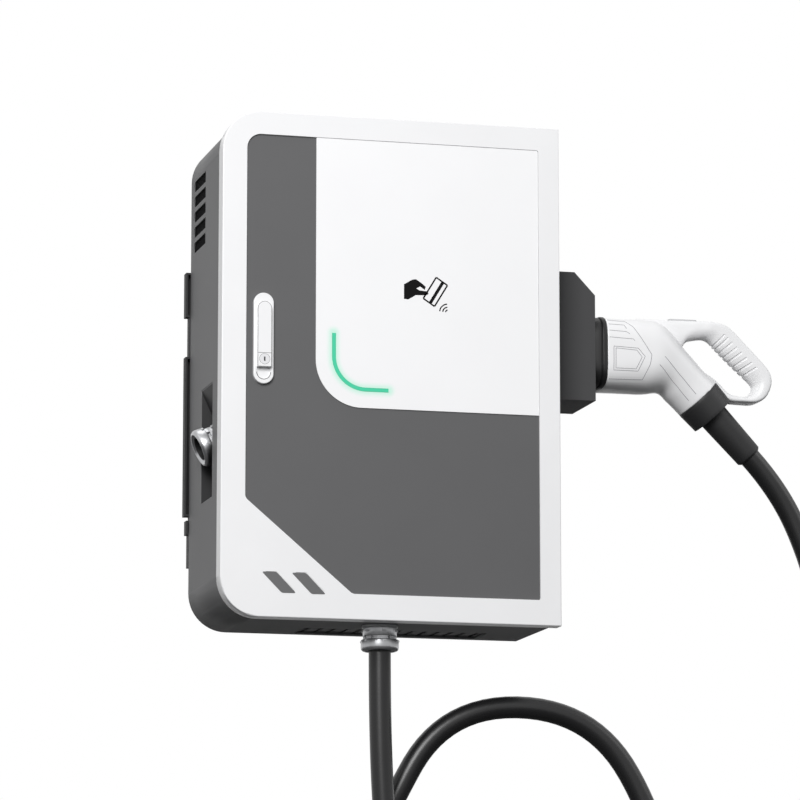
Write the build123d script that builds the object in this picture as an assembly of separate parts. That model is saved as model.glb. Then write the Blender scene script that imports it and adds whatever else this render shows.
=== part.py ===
from build123d import *
import math
import os

# Wall-hung direct-current charging box for electric cars. All sizes are in millimetres.
# X runs to the right, Y runs back to the wall, Z runs up.
# The origin is the centre of the four wall bolts, on the plane of the wall.

# Overall size
box_width = 480.0
box_height = 700.0
box_depth = 220.0
wall_standoff = 15.0
bolt_centre_height = 305.0
corner_radius = 55.0

left = -box_width / 2
right = box_width / 2
back = -wall_standoff
front = back - box_depth
bottom = -bolt_centre_height
top = bottom + box_height

# Clearances
sheet_gap = 0.3
running_gap = 0.05
panel_gap = 0.4

# Door
door_depth = 25.0
door_skin = 3.0
door_wall = 3.0
door_gap = 0.4
door_edge_round = 1.5
ledge_width = 9.0
ledge_depth = 3.0
gasket_width = 8.0
bezel_left = 34.0
bezel_right = 30.0
bezel_top = 32.0
bezel_bottom = 35.0
window_round = 20.0
cut_corner_width = 150.0
cut_corner_height = 126.7
cut_corner_round = 10.0

# Front panels and light strip
panel_lap = 8.0
grey_thickness = 2.0
white_thickness = 1.8
white_left = 132.0
white_bottom = 292.0
white_corner = 65.0
light_inset = 25.5
light_corner = 45.0
light_arm = 77.0
light_width = 4.9
light_proud = 0.3
light_flange = 12.0
light_board_thickness = 1.6

# Slanted grey inlays at the foot of the door
inlay_x = 60.5
inlay_z = 34.5
inlay_width = 17.5
inlay_height = 27.5
inlay_lean = 27.5
inlay_pitch = 41.7
inlay_depth = 1.0
inlay_proud = 0.2

# Handle
handle_x = 58.0
handle_low = 319.0
handle_width = 28.0
handle_length = 126.0
handle_proud = 3.0
lever_width = 19.4
lever_low = 341.6
lever_high = 432.0
lever_thickness = 6.0
lever_seam = 360.5
dish_low = 325.0
dish_depth = 3.0
lock_z = 352.0
lock_radius = 7.0
spindle_radius = 7.0
spindle_square = 8.0
spigot_width = 18.0
spigot_length = 100.0
spigot_depth = 14.0
pivot_pin_radius = 1.0
pivot_pin_up = 3.5
pivot_pin_in = 2.3
tongue_width = 8.0
cam_width = 18.0
cam_reach = 52.0
cam_thickness = 3.0
cam_depth = 29.0

# Rear housing
housing_inset = 2.0
housing_foot = 4.0
sheet = 2.0
lip_width = 14.0
vent_front = 123.0
vent_length = 80.0
vent_low = 537.0
vent_height = 15.0
vent_pitch = 22.0
vent_round = 11.0
vent_count = 5
grille_x = 41.0
grille_width = 262.0
grille_front = 140.0
grille_depth = 65.0
grille_lap = 6.0
grille_columns = 14
grille_rows = 6
grille_hole = 7.6
grille_plate_thickness = 1.5

# Supply pocket in the left side
pocket_front = 66.0
pocket_width = 75.0
pocket_low = 171.5
pocket_high = 331.5
pocket_slope = 23.6

# Cable glands, both of one size
gland_thread_radius = 20.0
gland_hex = 50.0
gland_hex_height = 9.0
gland_collar_radius = 22.5
gland_collar_height = 11.0
gland_nut_radius = 25.5
gland_nut_height = 16.0
gland_mouth_radius = 20.5
gland_bore_radius = 17.0
gland_thread_in = 16.0
supply_seat = 12.0
locknut_height = 6.0
supply_gland_y = 103.5
supply_gland_z = 260.4
output_gland_x = 245.0
output_gland_y = 90.0

# Charging cable
cable_radius = 15.5
last_run = 60.0

# Holster for the gun
holster_front = 70.0
holster_depth = 114.0
holster_out = 75.0
holster_low = 329.0
holster_high = 512.0
holster_slant_x = 30.0
holster_slant_z = 32.0
socket_depth = 50.0

# Charging gun, drawn from the holster's outer face along its barrel
barrel_height = 407.4
barrel_radius = 53.5
flange_length = 37.4
nose_width = 62.0
nose_height = 88.0
nose_round = 28.0
nose_length = 45.0
limb_angle = 46.5
limb_end_u = 169.6
limb_end_w = -58.7
limb_radius = 35.0
grip_thickness = 34.0
grip_round = 6.0
grip_ribs = 9
button_u = 126.0
button_length = 41.0
button_width = 13.0
button_height = 8.0
button_proud = 1.5
collar_length = 32.0
boot_length = 80.0
boot_radius_big = 21.5
boot_radius_small = 19.5

# Wall bracket and hanging rails
bolt_spacing_x = 340.0
bolt_spacing_z = 370.0
bolt_hole_radius = 5.0
bracket_sheet = 3.0
bracket_over = 6.5
bracket_low = 94.0
bracket_high = 514.0
cleat_levels = (134.0, -155.0)
cleat_half = 60.0
cleat_height = 16.0
cleat_sheet = 2.5
cleat_channel = 4.0

# Hinges
hinge_heights = (90.0, 350.0, 610.0)
hinge_length = 60.0
knuckle_radius = 3.5
hinge_pin_radius = 2.0
hinge_out = 2.0
hinge_back = 26.0
pin_head = 1.5

# Inside: power module, chassis and switchgear
module_width = 300.0
module_height = 437.0
module_depth = 84.0
module_low = 90.0
module_sheet = 2.0
fan_size = 76.0
fan_depth = 25.0
fan_spread = 75.0
fan_bore = 36.0
fan_blades = 7
chassis_x = 40.0
chassis_width = 360.0
chassis_low = 55.0
chassis_high = 645.0
chassis_sheet = 2.0
chassis_space = 7.0
pillar_radius = 5.0
pillar_spread = 165.0
rail_height = 35.0
rail_depth = 7.5
rail_sheet = 1.0
rail_z = 575.0
toggle_axle = 2.0

# Places worked out from the sizes above
door_back = front + door_depth
housing_front = door_back + door_gap
panel_face = front + door_skin
white_face = panel_face - white_thickness
back_inner = back - sheet
side_inner = housing_inset + sheet
foot_inner = housing_foot + sheet
module_front = back_inner - module_depth
chassis_back = module_front - chassis_space
chassis_face = chassis_back - chassis_sheet
rail_face = chassis_face - rail_depth
barrel_y = front + holster_front + holster_depth / 2
barrel_z = bottom + barrel_height
holster_face = right - housing_inset + holster_out
pin_x = right + hinge_out
pin_y = front + hinge_back


def block(x, y, z):
    """Box between two limits on each axis."""
    place = Pos((x[0] + x[1]) / 2, (y[0] + y[1]) / 2, (z[0] + z[1]) / 2)
    return place * Box(x[1] - x[0], y[1] - y[0], z[1] - z[0])


def rod_x(radius, x, y, z):
    """Round bar along X."""
    return Pos((x[0] + x[1]) / 2, y, z) * Rot(0, 90, 0) * Cylinder(radius, x[1] - x[0])


def rod_y(radius, x, y, z):
    """Round bar along Y."""
    return Pos(x, (y[0] + y[1]) / 2, z) * Rot(90, 0, 0) * Cylinder(radius, y[1] - y[0])


def rod_z(radius, x, y, z):
    """Round bar along Z."""
    return Pos(x, y, (z[0] + z[1]) / 2) * Cylinder(radius, z[1] - z[0])


def rect(x, z):
    """Rectangle seen from the front."""
    return Pos((x[0] + x[1]) / 2, (z[0] + z[1]) / 2) * Rectangle(x[1] - x[0], z[1] - z[0])


def outline(corners):
    """Closed outline seen from the front, through corners given as x, z and rounding radius."""
    face = Polygon(*[(x, z) for x, z, r in corners], align=None)
    for x, z, r in corners:
        if r > 0:
            face = fillet(face.vertices().sort_by_distance((x, z, 0))[0], r)
    return face


def plate(shape, y):
    """Flat piece with an outline seen from the front, between two depths."""
    plane = Plane(origin=(0, y[1], 0), x_dir=(1, 0, 0), z_dir=(0, -1, 0))
    return extrude(plane * shape, amount=y[1] - y[0], dir=(0, -1, 0))


def side_plate(shape, x):
    """Piece with an outline in the YZ plane, between two places along X."""
    plane = Plane(origin=(x[0], 0, 0), x_dir=(0, 1, 0), z_dir=(1, 0, 0))
    return extrude(plane * shape, amount=x[1] - x[0], dir=(1, 0, 0))


def leaf(side, ends):
    """Front outline of the box drawn in at the sides and ends, with round corners on its left."""
    shape = rect((left + side, right - side), (bottom + ends, top - ends))
    return fillet(shape.vertices().group_by(Axis.X)[0], corner_radius - side)


def group(*solids):
    """Separate solids that share one node."""
    return Compound(children=[s for solid in solids for s in solid.solids()])


def window(grow):
    """Opening in the door's face, with one corner cut away, grown by a margin."""
    x0 = left + bezel_left - grow
    x1 = right - bezel_right + grow
    z0 = bottom + bezel_bottom - grow
    z1 = top - bezel_top + grow
    spread = grow * math.tan(math.radians(22.5))
    cut_x = left + bezel_left + cut_corner_width - spread
    cut_z = bottom + bezel_bottom + cut_corner_height - spread
    return outline(
        [
            (x0, z1, window_round),
            (x1, z1, 3),
            (x1, z0, 3),
            (cut_x, z0, cut_corner_round),
            (x0, cut_z, cut_corner_round),
        ]
    )


def inlay_outline(index, grow):
    """Slanted inlay outline."""
    x = left + inlay_x + index * inlay_pitch
    z = bottom + inlay_z
    return outline(
        [
            (x - grow, z + inlay_height + grow, 1.5),
            (x + inlay_width, z + inlay_height + grow, 3),
            (x + inlay_width + inlay_lean + grow, z - grow, 1.5),
            (x + inlay_lean, z - grow, 3),
        ]
    )


def door_frame():
    """White moulded door: a shallow tray with a wide window in its face."""
    frame = plate(leaf(0, 0), (front, door_back))
    rim = frame.faces().sort_by(Axis.Y)[0].edges()
    frame = fillet(rim, door_edge_round)
    frame -= plate(leaf(door_wall, door_wall), (panel_face, door_back))
    ledge = leaf(door_wall, door_wall) - leaf(door_wall + ledge_width, door_wall + ledge_width)
    gasket_front = door_back - gasket_width
    frame += plate(ledge, (gasket_front - ledge_depth, gasket_front))
    frame -= plate(window(0), (front, panel_face))
    for index in range(2):
        frame -= plate(inlay_outline(index, 0), (front, front + inlay_depth))
    for height in hinge_heights:
        z = bottom + height
        half = hinge_length / 2 + pin_head + sheet_gap
        frame -= rod_z(knuckle_radius + panel_gap, pin_x, pin_y, (z - half, z + half))
    return frame


def inlays():
    """Two slanted grey inlays pressed into the door's face."""
    y = (front - inlay_proud, front + inlay_depth)
    return group(*[plate(inlay_outline(index, -0.15), y) for index in range(2)])


def light_path():
    """Centre line of the light strip: down, round the corner and to the right."""
    x0 = left + white_left + light_inset
    z0 = bottom + white_bottom + light_inset
    centre = (x0 + light_corner, z0 + light_corner)
    down = Line((x0, z0 + light_arm), (x0, centre[1]))
    bend = CenterArc(centre, light_corner, 180, 90)
    across = Line((centre[0], z0), (x0 + light_arm, z0))
    return Curve() + [down, bend, across]


def light_strip(width):
    """Flat strip of a given width along the light's centre line."""
    return trace(light_path(), width)


def stadium(x, low, high, width):
    """Upright slot outline with round ends."""
    return Pos(x, (low + high) / 2) * Rot(0, 0, 90) * SlotOverall(high - low, width)


def handle_outline():
    return stadium(left + handle_x, bottom + handle_low, bottom + handle_low + handle_length, handle_width)


def spigot_outline(grow):
    middle = bottom + handle_low + handle_length / 2
    half = spigot_length / 2 + grow
    return stadium(left + handle_x, middle - half, middle + half, spigot_width + 2 * grow)


def grey_panel():
    """Grey sheet behind the window, lapped behind the door's face."""
    panel = plate(window(panel_lap), (panel_face, panel_face + grey_thickness))
    panel -= plate(light_strip(light_width + 2 * sheet_gap), (panel_face, panel_face + grey_thickness))
    return panel - plate(spigot_outline(sheet_gap), (panel_face, panel_face + grey_thickness))


def white_panel():
    """White cover plate on the grey panel, with the light strip's slot."""
    x0 = left + white_left
    x1 = right - bezel_right - panel_gap
    z0 = bottom + white_bottom
    z1 = top - bezel_top - panel_gap
    shape = outline([(x0, z1, 0), (x1, z1, 3), (x1, z0, 0), (x0, z0, white_corner)])
    panel = plate(shape, (white_face, panel_face))
    return panel - plate(light_strip(light_width + 2 * sheet_gap), (white_face, panel_face))


def light_guide():
    """Clear strip that carries the light to the face, with a flange behind the grey panel."""
    panel_back = panel_face + grey_thickness
    strip = plate(light_strip(light_width), (white_face - light_proud, panel_back))
    return strip + plate(light_strip(light_flange), (panel_back, panel_back + 1.5))


def light_board():
    """Circuit strip behind the light guide."""
    y0 = panel_face + grey_thickness + 1.5
    return plate(light_strip(light_flange + 4), (y0, y0 + light_board_thickness))


def card_reader():
    """Reader board behind the middle of the white panel."""
    x = left + 290
    z = bottom + 456
    y0 = panel_face + grey_thickness
    board = block((x - 45, x + 45), (y0, y0 + 4), (z - 30, z + 30))
    return board + block((x - 20, x + 20), (y0 + 4, y0 + 9), (z - 14, z + 14))


def door_gasket():
    """Square rubber ring on the door's ledge, closing on the housing's lip."""
    ring = leaf(door_wall, door_wall) - leaf(door_wall + gasket_width, door_wall + gasket_width)
    return plate(ring, (door_back - gasket_width, door_back + 0.1))


def hinge_span(height, share):
    """Height limits of one third of a hinge, or of two thirds and more, from its middle."""
    z = bottom + height
    half = hinge_length * share / 2
    return (z - half, z + half)


def door_hinges():
    """Door halves of the three hinges: a leaf on the door's side and one middle knuckle."""
    parts = []
    y_edge = pin_y - knuckle_radius - panel_gap
    for height in hinge_heights:
        middle = hinge_span(height, 1 / 3)
        leaf_plate = block((right, right + 1.6), (y_edge - 12, y_edge), hinge_span(height, 1))
        arm = block((right, right + 1.6), (y_edge - 1, pin_y), middle)
        knuckle = rod_z(knuckle_radius, pin_x, pin_y, middle)
        bore = rod_z(hinge_pin_radius + running_gap, pin_x, pin_y, middle)
        parts.append(leaf_plate + arm + knuckle - bore)
    return group(*parts)


def housing_hinges():
    """Housing halves of the three hinges: a leaf on the housing's side and two outer knuckles."""
    parts = []
    side = right - housing_inset
    gap = 0.25
    for height in hinge_heights:
        whole = hinge_span(height, 1)
        middle = hinge_span(height, 1 / 3)
        clear = (middle[0] - gap, middle[1] + gap)
        wing = block((side, side + 2.2), (pin_y, pin_y + 26), whole)
        half = wing + rod_z(knuckle_radius, pin_x, pin_y, whole)
        half -= rod_z(knuckle_radius + 0.7, pin_x, pin_y, clear)
        half -= rod_z(hinge_pin_radius, pin_x, pin_y, whole)
        parts.append(half)
    return group(*parts)


def hinge_pins():
    """Pins held in the housing's knuckles, each with a low head on top."""
    pins = []
    for height in hinge_heights:
        low, high = hinge_span(height, 1)
        pin = rod_z(hinge_pin_radius, pin_x, pin_y, (low, high))
        pins.append(pin + rod_z(hinge_pin_radius + 1, pin_x, pin_y, (high, high + pin_head)))
    return group(*pins)


def handle_base():
    """Fixed body of the handle: a proud plate with a finger dish and a spigot through the panel."""
    x = left + handle_x
    spindle_z = bottom + lever_high - lever_width / 2
    face = front - handle_proud
    base = plate(handle_outline(), (face, panel_face))
    base = fillet(base.faces().sort_by(Axis.Y)[0].edges(), 1.2)
    base += plate(spigot_outline(0), (panel_face, panel_face + spigot_depth))
    dish = stadium(x, bottom + dish_low, bottom + lever_low + 9, lever_width)
    base -= plate(dish, (face, face + dish_depth))
    return base - rod_y(spindle_radius + running_gap, x, (face, panel_face + spigot_depth), spindle_z)


def handle_clamp():
    """Clamp plate that holds the handle's body against the back of the grey panel."""
    y0 = panel_face + grey_thickness
    clamp = plate(handle_outline() - spigot_outline(0), (y0, y0 + 3))
    for z in (handle_low + 6, handle_low + handle_length - 6):
        screw = rod_y(3.5, left + handle_x, (y0 + 3, y0 + 5.5), bottom + z)
        clamp += screw
    return clamp


def pivot_pin_place():
    """Depth and height of the lever's pivot pin."""
    spindle_z = bottom + lever_high - lever_width / 2
    lever_back = front - handle_proud - sheet_gap
    return lever_back - pivot_pin_in, spindle_z + pivot_pin_up


def handle_spindle():
    """Turning spindle: a round shaft, a tongue for the lever's pin and a square tail for the cam."""
    x = left + handle_x
    z = bottom + lever_high - lever_width / 2
    face = front - handle_proud
    pin_depth, pin_height = pivot_pin_place()
    shaft = rod_y(spindle_radius, x, (face, panel_face + spigot_depth), z)
    nose = pin_depth - 2.2
    tongue = rod_y(spindle_radius, x, (nose, face), z)
    half = tongue_width / 2
    # The tongue ends round its pin at the front, so that the lever's slot turns clear of it.
    shank = block((x - half, x + half), (nose, face), (z - spindle_radius, pin_height))
    shank += block((x - half, x + half), (pin_depth, face), (pin_height, pin_height + 2.2))
    shank += rod_x(2.2, (x - half, x + half), pin_depth, pin_height)
    tongue &= shank
    tail_end = front + cam_depth + cam_thickness + 3
    side = spindle_square / 2
    tail = block((x - side, x + side), (panel_face + spigot_depth, tail_end), (z - side, z + side))
    hole = rod_x(pivot_pin_radius, (x - half, x + half), pin_depth, pin_height)
    return shaft + tongue + tail - hole


def lever_pin():
    """Pin through the spindle's tongue, on which the lever lifts."""
    x = left + handle_x
    pin_depth, pin_height = pivot_pin_place()
    return rod_x(pivot_pin_radius, (x - lever_width / 2 + 1.2, x + lever_width / 2 - 1.2), pin_depth, pin_height)


def handle_lever():
    """White lever on the handle, lifting at its foot about the pin near its head."""
    x = left + handle_x
    lever_back = front - handle_proud - sheet_gap
    lever_face = lever_back - lever_thickness
    low = bottom + lever_low
    high = bottom + lever_high
    half = lever_width / 2
    shape = stadium(x, low - lever_width, high, lever_width) - rect((x - half, x + half), (low - 40, low))
    lever = plate(shape, (lever_face, lever_back))
    lever = fillet(lever.faces().sort_by(Axis.Y)[0].edges(), 0.8)
    seam = bottom + lever_seam
    lever -= block((x - half, x + half), (lever_face, lever_face + 0.5), (seam - 0.3, seam + 0.3))
    lever -= rod_y(lock_radius + running_gap, x, (lever_face, lever_back), bottom + lock_z)
    pin_depth, pin_height = pivot_pin_place()
    slot_half = tongue_width / 2 + sheet_gap
    slot_low = high - half - spindle_radius - sheet_gap
    lever -= block((x - slot_half, x + slot_half), (lever_face + 1.2, lever_back), (slot_low, high))
    lever -= rod_x(pivot_pin_radius + running_gap, (x - half, x + half), pin_depth, pin_height)
    # The back of the head slopes away, so that it clears the body when the lever is lifted.
    slope = Polygon(
        (pin_depth + pivot_pin_in, pin_height + 1.0),
        (pin_depth - 2.3, pin_height + 7.5),
        (pin_depth + 4.0, pin_height + 7.5),
        (pin_depth + 4.0, pin_height + 1.0),
        align=None,
    )
    return lever - side_plate(slope, (x - half - 1, x + half + 1))


def lock_barrel():
    """Lock barrel in the foot of the lever, with its key slot."""
    x = left + handle_x
    z = bottom + lock_z
    lever_back = front - handle_proud - sheet_gap
    face = lever_back - lever_thickness
    barrel = rod_y(lock_radius, x, (face, lever_back - sheet_gap), z)
    return barrel - block((x - 1.1, x + 1.1), (face, face + 3), (z - 3, z + 3))


def latch_cam():
    """Cam plate on the spindle's tail, shown drawn: it points up, clear of the housing's lip."""
    x = left + handle_x
    z = bottom + lever_high - lever_width / 2
    half = cam_width / 2
    shape = stadium(x, z - half, z + cam_reach, cam_width)
    side = spindle_square / 2
    shape -= rect((x - side, x + side), (z - side, z + side))
    return plate(shape, (front + cam_depth, front + cam_depth + cam_thickness))


def vent_outline(index):
    """One side slot, seen from the side, with its rear top corner rounded."""
    y0 = front + vent_front
    z0 = bottom + vent_low + index * vent_pitch
    shape = rect((y0, y0 + vent_length), (z0, z0 + vent_height))
    corner = shape.vertices().sort_by_distance((y0 + vent_length, z0 + vent_height, 0))[0]
    return fillet(corner, vent_round)


def pocket_shape(grow, y):
    """Wedge-shaped hollow for the supply gland, deepest at its foot, grown by a margin."""
    side = left + housing_inset
    z0 = bottom + pocket_low
    z1 = bottom + pocket_high
    slope = math.radians(pocket_slope)
    deep = (z1 - z0) * math.tan(slope)
    rise = grow / math.sin(slope)
    more = (rise + grow) * math.tan(slope)
    shape = Polygon((side, z1 + rise), (side, z0 - grow), (side + deep + more, z0 - grow), align=None)
    return plate(shape, y)


def rear_housing():
    """Folded steel housing: a tub with side slots, a wedge pocket, a grille opening and a front lip."""
    tub = plate(leaf(housing_inset, housing_foot), (housing_front, back))
    inner = leaf(side_inner, foot_inner)
    tub -= plate(inner, (housing_front, back_inner))
    lip = inner - leaf(side_inner + lip_width, foot_inner + lip_width)
    tub += plate(lip, (housing_front, housing_front + sheet))
    pocket_y = (front + pocket_front, front + pocket_front + pocket_width)
    tub += pocket_shape(sheet, (pocket_y[0] - sheet, pocket_y[1] + sheet))
    tub -= pocket_shape(0, pocket_y)
    for index in range(vent_count):
        for x in (left + housing_inset, right - side_inner):
            tub -= side_plate(vent_outline(index), (x, x + sheet))
    grille_y = (front + grille_front, front + grille_front + grille_depth)
    half = grille_width / 2
    floor = (bottom + housing_foot, bottom + foot_inner)
    tub -= block((grille_x - half, grille_x + half), grille_y, floor)
    tub -= rod_z(gland_thread_radius + sheet_gap, left + output_gland_x, front + output_gland_y, floor)
    seat = supply_gland_frame() * Pos(0, 0, -supply_seat / 2)
    tub += seat * Cylinder(gland_hex / 2 + 3, supply_seat)
    bore_length = supply_seat + 2 * sheet + 1
    return tub - seat * Cylinder(gland_thread_radius + sheet_gap, bore_length)


def bottom_grille():
    """Grille plate over the air inlet in the floor, with rows of diamond holes."""
    z0 = bottom + foot_inner
    y_mid = front + grille_front + grille_depth / 2
    length = grille_width + 2 * grille_lap
    breadth = grille_depth + 2 * grille_lap
    shape = Rectangle(length, breadth)
    pitch_x = grille_width / grille_columns
    pitch_y = grille_depth / grille_rows
    holes = [
        Pos((i - (grille_columns - 1) / 2) * pitch_x, (j - (grille_rows - 1) / 2) * pitch_y)
        * Rot(0, 0, 45)
        * Rectangle(grille_hole, grille_hole)
        for i in range(grille_columns)
        for j in range(grille_rows)
    ]
    shape -= holes
    place = Plane(origin=(grille_x, y_mid, z0))
    return extrude(place * shape, amount=grille_plate_thickness)


def vent_filters():
    """Filter pads behind the side slots."""
    y = (front + vent_front - 6, front + vent_front + vent_length + 6)
    z0 = bottom + vent_low - 6
    z1 = bottom + vent_low + (vent_count - 1) * vent_pitch + vent_height + 2
    inner_left = left + side_inner
    inner_right = right - side_inner
    pads = [block((inner_left, inner_left + 6), y, (z0, z1)), block((inner_right - 6, inner_right), y, (z0, z1))]
    return group(*pads)


def hex_prism(across_flats, height):
    return extrude(RegularPolygon(across_flats / math.sqrt(3), 6), amount=height)


def gland_body(seat):
    """Gland body along Z: hexagon on its seat, a collar outside it and a threaded neck inside."""
    neck = gland_thread_in + seat
    body = hex_prism(gland_hex, gland_hex_height)
    body += Pos(0, 0, gland_hex_height + gland_collar_height / 2) * Cylinder(gland_collar_radius, gland_collar_height)
    body += Pos(0, 0, -neck / 2) * Cylinder(gland_thread_radius, neck)
    outside = gland_hex_height + gland_collar_height
    return body - Pos(0, 0, (outside - neck) / 2) * Cylinder(gland_bore_radius, outside + neck)


def gland_nut():
    """Domed clamping nut on the end of the gland body."""
    low = gland_hex_height + gland_collar_height
    high = low + gland_nut_height
    profile = Polygon(
        (gland_bore_radius, low),
        (gland_nut_radius, low),
        (gland_nut_radius, high - 6),
        (gland_nut_radius - 2, high - 2),
        (gland_mouth_radius, high),
        (gland_bore_radius, high),
        align=None,
    )
    return revolve(Plane.XZ * profile, Axis.Z)


def gland_locknut(seat):
    """Hexagon locknut inside the wall."""
    face = -seat - sheet
    nut = Pos(0, 0, face - locknut_height) * hex_prism(gland_hex - 4, locknut_height)
    return nut - Pos(0, 0, face - locknut_height / 2) * Cylinder(gland_thread_radius, locknut_height)


def gland_seal(inner_radius):
    """Rubber sleeve in the gland's bore."""
    low = gland_hex_height
    high = gland_hex_height + gland_collar_height + gland_nut_height - 1
    sleeve = Pos(0, 0, (low + high) / 2) * Cylinder(gland_bore_radius, high - low)
    return sleeve - Pos(0, 0, (low + high) / 2) * Cylinder(inner_radius, high - low)


def supply_gland_frame():
    """Place of the supply gland on the seat of the pocket's slanted wall, its Z axis pointing out and down."""
    slope = math.radians(pocket_slope)
    x = left + housing_inset + (pocket_high - supply_gland_z) * math.tan(slope)
    origin = (x, front + supply_gland_y, bottom + supply_gland_z)
    wall = Location(Plane(origin=origin, x_dir=(0, 1, 0), z_dir=(-math.cos(slope), 0, -math.sin(slope))))
    return wall * Pos(0, 0, supply_seat)


def output_gland_frame():
    """Place of the output gland under the floor, its Z axis pointing down."""
    origin = (left + output_gland_x, front + output_gland_y, bottom + housing_foot)
    return Location(Plane(origin=origin, x_dir=(0, 1, 0), z_dir=(0, 0, -1)))


def gland_pair(make):
    """The same piece on both glands; the supply side has the seat's height to pass through."""
    return group(supply_gland_frame() * make(supply_seat), output_gland_frame() * make(0))


def gland_nuts():
    return group(supply_gland_frame() * gland_nut(), output_gland_frame() * gland_nut())


def gland_seals():
    """Sleeves of both glands: the supply one open, the output one closed on the cable."""
    return group(
        supply_gland_frame() * gland_seal(gland_bore_radius - 3),
        output_gland_frame() * gland_seal(cable_radius),
    )


def cable_tail():
    """End of the cable's sheath inside the output gland and just above the floor."""
    mouth = bottom + housing_foot - (gland_hex_height + gland_collar_height + gland_nut_height)
    tail_top = bottom + foot_inner + 26
    return rod_z(cable_radius, left + output_gland_x, front + output_gland_y, (mouth, tail_top))


def cable_route():
    """Points that the cable goes through, chosen by hand, from the output gland to the gun's boot."""
    mouth = bottom + housing_foot - (gland_hex_height + gland_collar_height + gland_nut_height)
    return [
        (left + output_gland_x, front + output_gland_y, mouth),
        (5, -145, -520),
        (28, -144, -700),
        (100, -141, -850),
        (285, -134, -892),
        (424, -126, -765),
        (421, -118, -577),
        (320, -112, -406),
        (109, -106, -404),
        (12, -98, -580),
        (-52, -91, -755),
        (-8, -85, -935),
        (148, -82, -1045),
        (352, -84, -1048),
        (532, -92, -944),
        (638, -100, -770),
        (684, -105, -585),
        (694, -107, -420),
        (674, -108, -285),
        (645, -108, -172),
    ]


def arc_path(points, share):
    """Straight runs joined by the largest tangent arcs that the runs allow."""
    radii = []
    for before, here, after in zip(points, points[1:], points[2:]):
        run_in = Vector(here) - Vector(before)
        run_out = Vector(after) - Vector(here)
        turn = run_in.get_angle(run_out)
        shorter = min(run_in.length, run_out.length)
        radii.append(share * shorter / math.tan(math.radians(turn / 2)))
    return FilletPolyline(*points, radius=radii), radii


def gun_point(u, w):
    """Place on the gun's middle plane, from distances along and above its barrel."""
    return (holster_face + u, barrel_y, barrel_z + w)


def limb_place(s):
    """Location on the cable limb's axis, Z pointing out along it, s from the limb's end."""
    slope = math.radians(limb_angle)
    u = limb_end_u + s * math.cos(slope)
    w = limb_end_w - s * math.sin(slope)
    plane = Plane(origin=gun_point(u, w), x_dir=(0, 1, 0), z_dir=(math.cos(slope), 0, -math.sin(slope)))
    return Location(plane)


def charging_cable():
    """Cable from the output gland, down, round one loop and up to the gun's boot."""
    far = collar_length + boot_length
    ends = [tuple(limb_place(s).position) for s in (far + last_run, far)]
    points = cable_route() + ends
    path, radii = arc_path(points, 0.45)
    print("cable radii", [round(r) for r in radii], "shortest", round(min(radii)))
    runs = [(Vector(b) - Vector(a)).length for a, b in zip(points, points[1:])]
    print("cable runs", [round(r) for r in runs], "length", round(path.length))
    start = Plane(origin=path @ 0, z_dir=path % 0)
    tube = sweep(start * Circle(cable_radius), path=path)
    print("cable volume over section times length", tube.volume / (math.pi * cable_radius**2 * path.length))
    return tube


def gun_section(u, w, tilt, radius, breadth):
    """Oval section of the gun's body, square to a direction that dips by tilt degrees."""
    a = math.radians(tilt)
    plane = Plane(origin=gun_point(u, w), x_dir=(0, 1, 0), z_dir=(math.cos(a), 0, -math.sin(a)))
    return plane * Ellipse(breadth, radius)


def gun_outline(points):
    """Outline in the gun's own measures, u along the barrel and w above it."""
    return outline([(holster_face + u, barrel_z + w, r) for u, w, r in points])


def gun_body():
    """Barrel, elbow and cable limb as one loft, with the flat hand loop joined to its back."""
    body = loft(
        [
            gun_section(flange_length, 0, 0, barrel_radius, barrel_radius),
            gun_section(82, -0.5, 0, barrel_radius, barrel_radius),
            gun_section(104, -5, 10, 49.5, 51),
            gun_section(131, -18, 27, 40, 43),
            gun_section(152.5, -40.5, limb_angle, 36, 37),
            gun_section(limb_end_u, limb_end_w, limb_angle, limb_radius, limb_radius),
        ]
    )
    loop = gun_outline(
        [(62, 53.4, 0), (211, 53.4, 42), (332, -66, 35), (212, -66, 9), (186, -42, 0), (140, -40, 0), (62, 10, 0)]
    )
    hole = gun_outline(
        [(142, 10, 6), (170, 31.3, 16), (195, 31.3, 14), (258, -32, 9), (247, -52, 9), (220, -52, 14)]
    )
    y = (barrel_y - grip_thickness / 2, barrel_y + grip_thickness / 2)
    grip = plate(loop - hole, y)
    rims = grip.faces().filter_by(Axis.Y).edges().filter_by(lambda e: e.center().X > holster_face + 150)
    grip = fillet(rims, grip_round)
    for index in range(grip_ribs):
        u = 206 + index * 5.2
        w = 21 - index * 5.2
        groove = Pos(*gun_point(u, w)) * Rot(0, 45, 0) * Box(5, grip_thickness, 1.6)
        grip -= groove
    body += grip
    clear = limb_place(0) * Pos(0, 0, 60) * Cylinder(limb_radius + 0.6, 120)
    body -= clear
    z_top = barrel_z + barrel_radius
    u0 = holster_face + button_u
    gap = 0.3
    half = button_width / 2 + gap
    pocket = block(
        (u0 - gap, u0 + button_length + gap), (barrel_y - half, barrel_y + half), (z_top - button_height - 3, z_top + 2)
    )
    return body - pocket


def gun_half(side):
    """One half shell of the gun, parted along its middle plane."""
    reach = 400
    y = (barrel_y - reach, barrel_y) if side < 0 else (barrel_y, barrel_y + reach)
    cutter = block((holster_face, holster_face + reach), y, (barrel_z - reach, barrel_z + reach))
    return gun_body() & cutter


def gun_button():
    """Release button on top of the gun."""
    z_top = barrel_z + barrel_radius + button_proud
    half = button_width / 2
    u0 = holster_face + button_u
    button = block((u0, u0 + button_length), (barrel_y - half, barrel_y + half), (z_top - button_height, z_top))
    return fillet(button.faces().sort_by(Axis.Z)[-1].edges(), 1.2)


def nose_outline(grow):
    """Plug outline seen along the barrel."""
    return RectangleRounded(nose_width + 2 * grow, nose_height + 2 * grow, nose_round + grow)


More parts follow.
